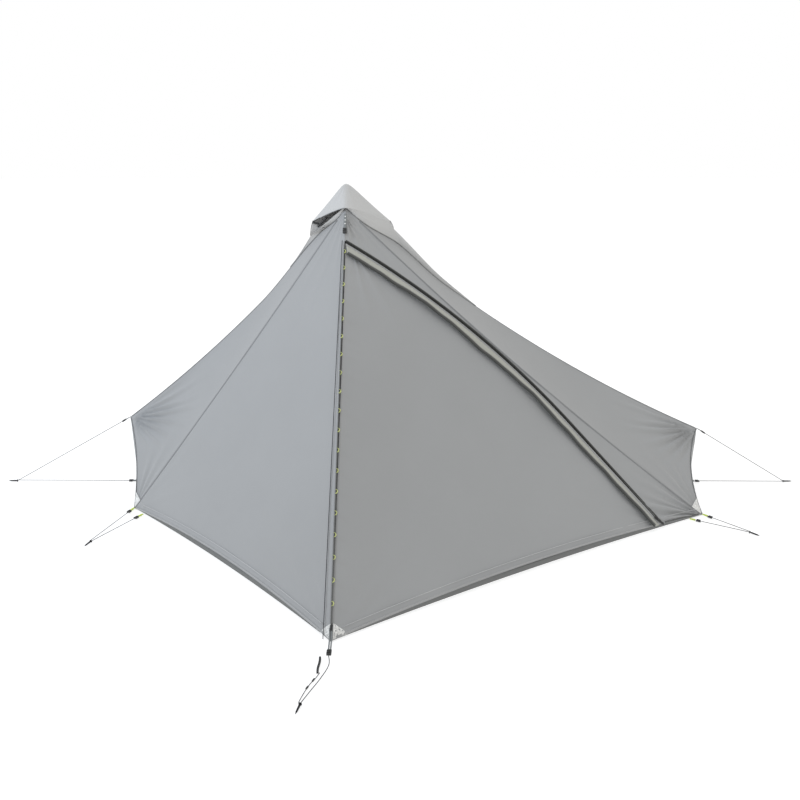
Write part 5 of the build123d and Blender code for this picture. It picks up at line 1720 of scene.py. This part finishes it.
# ------------------------------------------------------------------ ridge fittings
@dataclass
class RidgeTrim:
    """Bound front and back ridges, half-moon tabs, peak strap and corner patches."""

    pitch: Pitch
    rows: ShapeRow
    stitching: Stitching
    tab_count: int = 19
    tab_first: float = 0.255
    tab_last: float = 1.880
    tape_top: float = 0.210
    tape_foot: float = 0.060
    patch_wide: float = 0.062
    patch_tall: float = 0.060
    patch_lift: float = 0.0010

    def down(self, side: Side, distance: float, stand: float = 0.0, aside: float = 0.0) -> Vector:
        """Point on a ridge, a distance down from the crown and off the cloth."""
        crown, tip = self.pitch.crown(side), self.pitch.tip(side)
        along = (tip - crown).normalized()
        return crown + along * distance + self.out(side) * stand + ACROSS * aside

    def out(self, side: Side) -> Vector:
        """Direction away from the shelter on a ridge."""
        along = (self.pitch.tip(side) - self.pitch.crown(side)).normalized()
        out = along.cross(ACROSS)
        return out if out.z > 0 else -out

    def build(self) -> None:
        """Builds everything sewn to the ridges."""
        self.tapes()
        self.tabs()
        self.strap()
        self.tip_straps()
        self.patches()

    def tapes(self) -> None:
        """Folded binding with a round edge, over the seam of each ridge."""
        length = (self.pitch.tip(FRONT) - self.pitch.crown(FRONT)).length
        pieces = []
        for side in Side:
            path = sampled(lambda share: self.down(side, self.tape_top + share * (length - self.tape_top
                           - self.tape_foot), 0.0004), 140)
            profile = [(-0.0026, -0.0006), (0.0026, -0.0006), (0.0024, 0.0014), (0.0012, 0.0030),
                       (0.0, 0.0034), (-0.0012, 0.0030), (-0.0024, 0.0014)]
            pieces.append(swept("ridge_binding", path, self.out(side), profile, RIDGE_TAPE))
        assemble("ridge_bindings", pieces, Body.SHELTER, "dark_tape", "ridge_tapes")

    def tabs(self) -> None:
        """Lime half-moon tabs at even steps down the front ridge."""
        path = [self.down(FRONT, self.tab_first, 0.0034), self.down(FRONT, self.tab_last, 0.0034)]
        step = (self.tab_last - self.tab_first) / (self.tab_count - 1)
        shape = tab_shape(0.0094, 0.0054, 0.0013)
        lean = self.out(FRONT) * 0.6 + ACROSS
        piece = self.rows.lay("ridge_tab_loops", [path], shape, step * 0.99999, lean, TAB_LIME, 0.2)
        bpy.data.objects.remove(shape)
        settle(piece, Body.SHELTER, "lime_webbing", "ridge_tabs")
        LOG.info("tabs: %d faces", len(piece.data.polygons))

    def strap(self) -> None:
        """Webbing strap under the hood's front corner, with three pale rivets."""
        path = [self.down(FRONT, 0.042 + 0.082 * step / 16, 0.005 + 0.0015 * sin(step * 0.9))
                for step in range(17)]
        out = self.out(FRONT)
        strap = swept("peak_strap_webbing", path, out, flat_profile(0.014, 0.0018), GREY_WEB)
        dots = []
        for step in (3, 7, 11):
            mesh = bpy.data.meshes.new("dot")
            with editing(mesh) as work:
                bmesh.ops.create_uvsphere(work, u_segments=14, v_segments=8, radius=0.0036)
            for vertex in mesh.vertices:
                vertex.co = path[step] + out * 0.002 + vertex.co * 0.9
            dots.append(new_object("dot", mesh, DOTS.material()))
        assemble("peak_strap_rivets", dots, Body.SHELTER, "grey_webbing")
        settle(strap, Body.SHELTER, "grey_webbing", "peak_strap")

    def tip_straps(self) -> None:
        """Doubled webbing that leaves each tip."""
        low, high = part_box("tip_straps")
        pieces = []
        for side in Side:
            far = high.y if side is BACK else low.y
            tip = self.pitch.tip(side)
            length = (tip - self.pitch.crown(side)).length
            top = self.down(side, length - 0.050, 0.0042)
            bend = tip + self.out(side) * 0.003
            for aside in (-0.0040, 0.0040):
                path = [top.lerp(bend, step / 7) for step in range(8)]
                for step in range(1, 9):
                    share = step / 8
                    height = bend.z * (1 - share) ** 2 + 0.0016 + 0.0008 * sin(share * 6)
                    path.append(Vector((bend.x, bend.y + (far - bend.y) * share, height)))
                path = [spot + ACROSS * aside for spot in path]
                ups = [self.out(side)] * 7 + [UP] * 9
                pieces.append(swept("tip_strap", path, ups, flat_profile(0.0058, 0.0016), GREY_WEB))
        assemble("tip_strap_webbing", pieces, Body.SHELTER, "grey_webbing", "tip_straps")
        self.tip_hardware()

    def tip_hardware(self) -> None:
        """Black toggle, bar and knots where the front tip's cords are made fast."""
        length = (self.pitch.tip(FRONT) - self.pitch.crown(FRONT)).length
        base = self.pitch.peak_x
        pieces = []
        hook = [self.down(FRONT, length - 0.060 + 0.004 * step, 0.006, 0.002) for step in range(6)]
        pieces.append(swept("tip_hook", hook, self.out(FRONT), flat_profile(0.011, 0.006),
                            PLASTIC))
        bar = [Vector((base - 0.031 + 0.0016 * sin(step * 0.8), -1.500 - 0.0110 * step, 0.002))
               for step in range(9)]
        pieces.append(swept("tip_toggle", bar, UP, flat_profile(0.0085, 0.0055), PLASTIC))
        for x, y in ((-0.042, -1.623), (-0.060, -1.662)):
            spot = Vector((base + x, y, 0.0012))
            run = Vector((-0.4, -0.9, 0)).normalized()
            path = [spot + run * (0.0028 * step - 0.007) for step in range(6)]
            pieces.append(swept("knot", path, UP, round_profile(0.0034, 10, 0.0022), BINDING))
        assemble("tip_hardware", pieces, Body.SHELTER, "black_plastic")

    def patches(self) -> None:
        """Pale reinforcements at the tips and the corners."""
        shelter, door = [], []
        for side in Side:
            for end in End:
                on_door = (end, side) == (RIGHT, FRONT)
                patch = self.tip_patch(end, side, 0.010 if on_door else 0.004)
                (door if on_door else shelter).append(patch)
                shelter.append(self.corner_patch(end, side))
        assemble("shelter_patches", shelter, Body.SHELTER, "hood_cloth")
        assemble("door_patches", door, Body.DOOR, "hood_cloth")

    def tip_patch(self, end: End, side: Side, aside: float) -> Piece:
        """Pale patch beside a ridge at a tip, set in by a distance."""
        plane = self.pitch.panel(end, side)
        ridge = plane.local(self.pitch.crown(side)).normalized()
        start = Vector((aside, 0.004))
        top = start + ridge * self.patch_tall
        foot = start + Vector((self.patch_wide, 0.002))

        def edge(share: float) -> Vector:
            flat = top.lerp(start, share)
            return plane.place(flat.x, flat.y, self.patch_lift)

        def slope(share: float) -> Vector:
            flat = top.lerp(foot, share)
            bulge = 0.003 * sin(pi * share) + 0.0035 * sin(9 * share + 1) * share * (1 - share)
            return plane.place(flat.x + bulge, flat.y + bulge, self.patch_lift)

        patch = Patch(f"tip_patch_{end.label}", edge, slope, plane.normal, rows=22, columns=22,
                      ripple=0.0013, ripple_scale=0.014, seed=81 + side + 3 * end, rim=0.006)
        return patch.build(PATCH, 0.0005)

    def corner_patch(self, end: End, side: Side) -> Piece:
        """Pale patch across the shoulder's foot at a corner."""
        pitch = self.pitch
        out = pitch.outside(end, side)
        lift = out * 0.0025

        def outer(share: float) -> Vector:
            return pitch.end_edge(end, side, 0.02 + 0.15 * share) + lift

        def inner(share: float) -> Vector:
            low = pitch.seam(end, side, 1 - 0.004 - 0.026 * share)
            return low + lift

        patch = Patch(f"corner_patch_{end.label}", outer, inner, out, rows=18, columns=18,
                      ripple=0.0008, ripple_scale=0.018, seed=91 + side + 3 * end, rim=0.006)
        return patch.build(PATCH, 0.0005)


# ------------------------------------------------------------------ ground fittings
@dataclass
class GuyLines:
    """Pegs, webbing loops, tensioners and the cords between them."""

    pitch: Pitch
    cord: float = 0.003
    cord_lift: float = 0.008
    spread: float = 0.0045
    loop_gap: float = 0.008
    loop_length: float = 0.022
    loop_width: float = 0.012
    lock_length: float = 0.024
    floor_loop_along: float = 0.096
    corner_out: dict[End, float] = by_end(0.349, 0.242)
    corner_turn: dict[End, float] = by_end(74.4, 48.0)
    tip_out: float = 0.335
    tip_aside: float = 0.073
    peg_span: float = 4.390
    peg_length: float = 0.052

    def peg(self, end: int, side: int) -> Vector:
        """Where the cords meet a peg."""
        if side == 0:
            return Vector((end * (self.peg_span / 2 - self.peg_length), 0, self.cord_lift))
        if end == 0:
            y = side * (self.pitch.half_width + self.tip_out)
            return Vector((self.pitch.peak_x - self.tip_aside, y, self.cord_lift))
        corner = self.pitch.corner(End(end), Side(side))
        turn = radians(self.corner_turn[End(end)])
        out = self.corner_out[End(end)]
        return Vector((corner.x + end * out * cos(turn), corner.y + side * out * sin(turn),
                       self.cord_lift))

    def lines(self) -> dict[str, tuple[Vector, Vector]]:
        """Start and stop of each taut line by name."""
        found = {}
        level = UP * (self.cord_lift - self.pitch.hem)
        for end in End:
            label = end.label
            peg = self.peg(end, 0)
            aside = Vector((0, end, 0)) * self.spread
            found[f"{label}_raised"] = (self.pitch.raised(end), peg + aside)
            found[f"{label}_low"] = (self.pitch.hem_middle(end) + level, peg - aside)
            for side in Side:
                corner, tip = self.pitch.corner(end, side), self.pitch.tip(side)
                peg = self.peg(end, side)
                out = peg - corner
                out.z = 0
                out.normalize()
                aside = Vector((-out.y, out.x, 0)) * self.spread * (-end * side)
                hem = (tip - corner).normalized()
                beyond = Vector((hem.y, -hem.x, 0))
                if beyond.y * side < 0:
                    beyond = -beyond
                name = f"{label}_{side.label}"
                found[f"{name}_corner"] = (corner + level, peg + aside)
                floor = corner + level + hem * self.floor_loop_along + beyond * 0.002
                found[f"{name}_floor"] = (floor, peg - aside)
        return found

    def build(self) -> None:
        """Builds loops, hardware and cords."""
        self.loops()
        self.hardware()
        self.cords()

    def loops(self) -> None:
        """Folded webbing loops sewn to the fly, with the fold round the tensioner's bar."""
        lime, grey = [], []
        for name, (start, stop) in self.lines().items():
            run = (stop - start).normalized()
            side = UP.cross(run).normalized()
            up = run.cross(side)
            near, far = self.loop_gap * 0.2, self.loop_gap + self.loop_length
            path = []
            for step in range(25):
                turn = step / 24
                if turn < 0.42:
                    share = turn / 0.42
                    along, height = near + (far - 0.003 - near) * share, 0.0007 + 0.0016 * share
                elif turn > 0.58:
                    share = (1 - turn) / 0.42
                    along, height = near + (far - 0.003 - near) * share, -0.0007 - 0.0016 * share
                else:
                    angle = pi / 2 - pi * (turn - 0.42) / 0.16
                    along, height = far - 0.003 + 0.0023 * cos(angle), 0.0023 * sin(angle)
                path.append(start + run * along + up * height)
            ups = [tangent.cross(side) * -1 for tangent in tangents(path)]
            raised = name.endswith(("raised", "low"))
            finish = GREY_WEB if raised else LIME
            (grey if raised else lime).append(
                swept("loop", path, ups, flat_profile(self.loop_width, 0.0009), finish)
            )
        assemble("webbing_loop_folds", lime + grey, Body.SHELTER, "lime_webbing", "webbing_loops")

    def hardware(self) -> None:
        """Tensioners, buckles and pegs with eased edges."""
        for node, finish, slot in (
            ("line_tensioners", PLASTIC, "black_plastic"), ("buckles", PLASTIC, "black_plastic"),
            ("pegs", PEG_METAL, "peg_metal"),
        ):
            piece = rounded_copy(node, f"{node}_eased", 0.0008, finish)
            settle(piece, Body.SHELTER, slot, node)

    def taut(self, name: str, start: Vector, stop: Vector, diameter: float,
             finish: CordFinish = CORD_BLACK) -> None:
        """One taut cord."""
        run = (stop - start).normalized()
        points = [start, start + run * 6 * diameter, stop - run * 6 * diameter, stop]
        piece = cord_curve(name, points, diameter, finish)
        settle(piece, Body.SHELTER, "guy_cord", name)
        tuple(start)

    def cords(self) -> None:
        """Every cord, taut and loose."""
        for name, (start, stop) in self.lines().items():
            run = (stop - start).normalized()
            leave = start + run * (self.loop_gap + self.loop_length + self.lock_length + 0.002)
            self.taut(f"guy_{name}", leave, stop, self.cord)
        strap, buckle = 0.040, 0.030
        out = self.pitch.half_width + self.loop_gap + strap + buckle + 0.002
        start = Vector((self.pitch.peak_x, out, 0.004))
        self.taut("tip_cord_back", start, self.peg(0, BACK), self.cord)
        self.ridge_cord()
        self.tip_cords()

    def ridge_cord(self) -> None:
        """The thin cord beside the front ridge, down to the tip."""
        plane = self.pitch.panel(LEFT, FRONT)
        crown = plane.local(self.pitch.crown(FRONT))
        down = -crown.normalized()
        aside = Vector((-down.y, down.x))
        if aside.x < 0:
            aside = -aside
        length = (self.pitch.tip(FRONT) - self.pitch.crown(FRONT)).length
        first = crown + down * 0.190 + aside * 0.010
        last = crown + down * (length - 0.010) + aside * 0.034
        start = plane.place(first.x, first.y, 0.006)
        stop = plane.place(last.x, last.y, 0.006)
        self.taut("ridge_cord", start, stop, self.cord, CORD_THIN)

    def tip_cords(self) -> None:
        """The front tip's peg loop and its loose tail."""
        routes = {
            "tip_cord_front": ([
                (0, -1.492, 0.0032), (0.007, -1.520, 0.0017), (0.004, -1.552, 0.0017),
                (-0.009, -1.590, 0.0017), (-0.026, -1.632, 0.0017), (-0.046, -1.674, 0.0017),
                (-0.062, -1.712, 0.003), (-0.071, -1.738, 0.006),
            ], 0.2615, "object"),
            "tip_tail_front": ([
                (-0.023, -1.588, 0.0055), (-0.034, -1.611, 0.002), (-0.050, -1.636, 0.0017),
                (-0.061, -1.664, 0.0017), (-0.070, -1.692, 0.0017), (-0.076, -1.716, 0.003),
                (-0.080, -1.738, 0.006),
            ], 0.1621, "object"),
        }
        for name, (route, length, far_end) in routes.items():
            points = [Vector(spot) + ACROSS * self.pitch.peak_x for spot in route]
            piece = cord_curve(name, points, self.cord, CORD_BLACK)
            settle(piece, Body.SHELTER, "guy_cord", name)
            tuple(points[0])


def cord_curve(name: str, points: Sequence[Vector], diameter: float, finish: CordFinish) -> Piece:
    """One smooth round cord whose control points are its route."""
    curve = bpy.data.curves.new(f"{name}_line", "CURVE")
    curve.dimensions = "3D"
    spline = curve.splines.new("NURBS")
    spline.points.add(len(points) - 1)
    for point, spot in zip(spline.points, points):
        point.co = (*spot, 1.0)
    spline.order_u = 3
    spline.use_endpoint_u = True
    spline.resolution_u = 8
    curve.bevel_depth = diameter / 2
    curve.bevel_resolution = 3
    curve.use_fill_caps = True
    curve.materials.append(finish.material())
    return linked(f"{name}_line", curve)


# ------------------------------------------------------------------ groundsheet and poles
@dataclass
class Groundsheet:
    """Bathtub floor with low walls inside the hem. It is coloured near black so that it also stands for the
    shadow under the hem: partly painted shade.
    """

    pitch: Pitch
    inset: float = 0.006
    wall: float = 0.031
    slack: float = 0.004

    def outline(self, steps: int = 44) -> list[tuple[Vector, float]]:
        """Plan of the tub just inside the hem, with the wall's height at each point."""
        pitch = self.pitch
        edge: list[tuple[Vector, float]] = []

        def add(curve: Curve, count: int) -> None:
            for step in range(count):
                spot = curve(step / count)
                edge.append((spot, min(self.wall, spot.z + self.slack)))

        for side in (FRONT, BACK):
            first, last = (RIGHT, LEFT) if side is BACK else (LEFT, RIGHT)
            add(lambda share: pitch.hem_line(first, side, 1 - share), steps)
            add(lambda share: pitch.hem_line(last, side, share), steps)
            add(lambda share: pitch.corner(last, side).lerp(pitch.corner(last, Side(-side)), share), 16)
        centre = Vector((pitch.peak_x + 0.2, 0.0, 0.0))
        pulled = []
        for spot, height in edge:
            level = Vector((spot.x, spot.y, 0.0))
            pulled.append((level + (centre - level).normalized() * self.inset * 1.4, height))
        return pulled

    def build(self) -> None:
        """Builds floor and walls as one sheet."""
        rings = ((0.62, 0.0), (0.9, 0.0), (0.985, 0.0), (1.0, 0.0), (1.0, 0.33), (1.0, 0.66), (1.0, 1.0))
        edge = self.outline()
        centre = Vector((self.pitch.peak_x + 0.2, 0.0, 0.0))
        points, flat = [centre + UP * 0.0013], [(centre.x, centre.y)]
        for share, rise in rings:
            for index, (spot, wall) in enumerate(edge):
                place = centre.lerp(spot, share)
                inward = (centre - spot).normalized()
                lean = 0.0012 * rise * (1 + sin(index * 0.83))
                height = 0.0013 + rise * wall * (0.96 + 0.04 * sin(index * 0.17))
                if rise == 0 and share < 1:
                    height += 0.0009 * (1 + sin(index * 0.9 + share * 40))
                points.append(place + inward * lean + UP * height)
                flat.append((place.x - inward.x * rise * wall, place.y - inward.y * rise * wall))
        count = len(edge)
        faces = [(0, 1 + index, 1 + (index + 1) % count) for index in range(count)]
        faces += [(a, d, c, b) for a, b, c, d in ring_faces(len(rings), count, first=1)]
        mesh = mesh_from("groundsheet_tub", np.array(points), faces, np.array(flat))
        # The near-black tub is partly painted shade under the hem.
        piece = new_object("groundsheet_tub", mesh, TUB_AND_HEM_SHADOW.material())
        thicken(piece, 0.0008)
        settle(piece, Body.SHELTER, "groundsheet_cloth", "groundsheet", "groundsheet_walls")
        declare_sheet(piece)
        LOG.info("groundsheet: %d faces", len(mesh.polygons))


class Finisher:
    """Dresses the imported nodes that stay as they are."""

    finishes = {"pole_crown": PLASTIC, "crown_pins": STEEL, "zip_slider": SLIDER_METAL, "zip_pull": PLASTIC}
    pole_finishes = {
        "upper": POLE_DARK, "lower": POLE_CLEAR, "clamp": PLASTIC, "lever": PLASTIC, "foot": RUBBER,
    }

    def dress(self) -> None:
        """Gives every kept node its finish."""
        chosen = dict(self.finishes)
        for side in ("front", "back"):
            for part, finish in self.pole_finishes.items():
                chosen[f"{side}_pole_{part}"] = finish
        for name, finish in chosen.items():
            slots = frame["nodes"][name].material_slots
            for slot in slots:
                slot.material = finish.material()
        LOG.info("dressed %d packed nodes", len(chosen))


# ------------------------------------------------------------------ stage
@dataclass
class Studio:
    """Pale floor, soft lights and the camera."""

    camera_place: tuple[float, float, float] = (0.005, -3.81, 1.84)
    camera_tilt: float = 70.45
    camera_turn: float = 0.08
    lens: float = 33.75
    sky_light: float = 0.74

    def build(self) -> None:
        """Sets the stage."""
        bpy.context.scene.view_settings.view_transform = "Standard"
        self.floor()
        self.light("key", (-4.4, -1.6, 3.8), (0, 0, 0.5), 1.6, 112, (0.72, 0.83, 1.0))
        self.light("fill", (4.2, -3.0, 2.4), (0, 0, 0.5), 3.0, 18, (1.0, 0.97, 0.93))
        self.light("top", (0.3, 1.0, 5.0), (0, 0, 0.6), 4.0, 45, (1.0, 1.0, 1.0))
        self.light("rim", (0.0, 4.5, 2.2), (0, 0, 0.8), 3.0, 20, (1.0, 1.0, 1.0))
        self.sky()
        self.camera()

    def sky(self) -> None:
        """An even sky that is plain white where it is seen and dimmer where it lights."""
        world = bpy.data.worlds.new("studio")
        bpy.context.scene.world = world
        world.use_nodes = True
        nodes, links = world.node_tree.nodes, world.node_tree.links
        backdrop = nodes["Background"]
        seen = nodes.new("ShaderNodeLightPath")
        level = nodes.new("ShaderNodeMapRange")
        level.inputs["To Min"].default_value = self.sky_light
        level.inputs["To Max"].default_value = 1.0
        links.new(seen.outputs["Is Camera Ray"], level.inputs["Value"])
        links.new(level.outputs["Result"], backdrop.inputs["Strength"])
        backdrop.inputs["Color"].default_value = (1.0, 1.0, 1.0, 1.0)

    def floor(self) -> None:
        """A wide pale floor under everything."""
        mesh = bpy.data.meshes.new("studio_floor")
        with editing(mesh) as work:
            bmesh.ops.create_grid(work, x_segments=1, y_segments=1, size=30.0)
        for vertex in mesh.vertices:
            vertex.co.z = -0.001
        shader = Shader("pale_floor")
        place = shader.coordinates("Object")
        tone = shader.noise(place, 0.6, 2.0)
        base = shader.mix(tone, (0.41, 0.41, 0.41, 1.0), (0.43, 0.43, 0.43, 1.0))
        finish = shader.close({
            "Base Color": base, "Roughness": 0.95,
            "Emission Color": (1.0, 1.0, 1.0, 1.0), "Emission Strength": 0.72,
        })
        floor = new_object("studio_floor", mesh, finish)

    def light(self, name: str, place: tuple, aim: tuple, size: float, power: float, colour: tuple) -> None:
        """One large soft lamp."""
        lamp = bpy.data.lights.new(name, "AREA")
        lamp.shape = "DISK"
        lamp.size = size
        lamp.energy = power
        lamp.color = colour
        holder = linked(name, lamp)
        holder.location = place
        holder.rotation_euler = (Vector(aim) - Vector(place)).to_track_quat("-Z", "Y").to_euler()

    def camera(self) -> None:
        """The camera, at standing height in front."""
        lens = bpy.data.cameras.new("camera")
        lens.lens = self.lens
        lens.sensor_width = 36.0
        lens.clip_start = 0.05
        holder = linked("camera", lens)
        holder.location = self.camera_place
        holder.rotation_euler = (radians(self.camera_tilt), 0, radians(self.camera_turn))
        bpy.context.scene.camera = holder


def main() -> None:
    """Builds the dressed shelter."""
    logging.basicConfig(level=logging.INFO, format="%(name)s: %(message)s")
    Studio().build()
    pitch = Pitch.from_frame()
    GuyLines(pitch).build()
    rows = ShapeRow()
    stitching = Stitching(rows)
    zip_line = ZipLine(pitch)
    Fly(pitch, zip_line, stitching).build()
    PeakHood(pitch).build()
    DoorZip(pitch, zip_line, rows, stitching).build()
    RidgeTrim(pitch, rows, stitching).build()
    Groundsheet(pitch).build()
    stitching.finish()
    Finisher().dress()


if __name__ == "__main__":
    main()
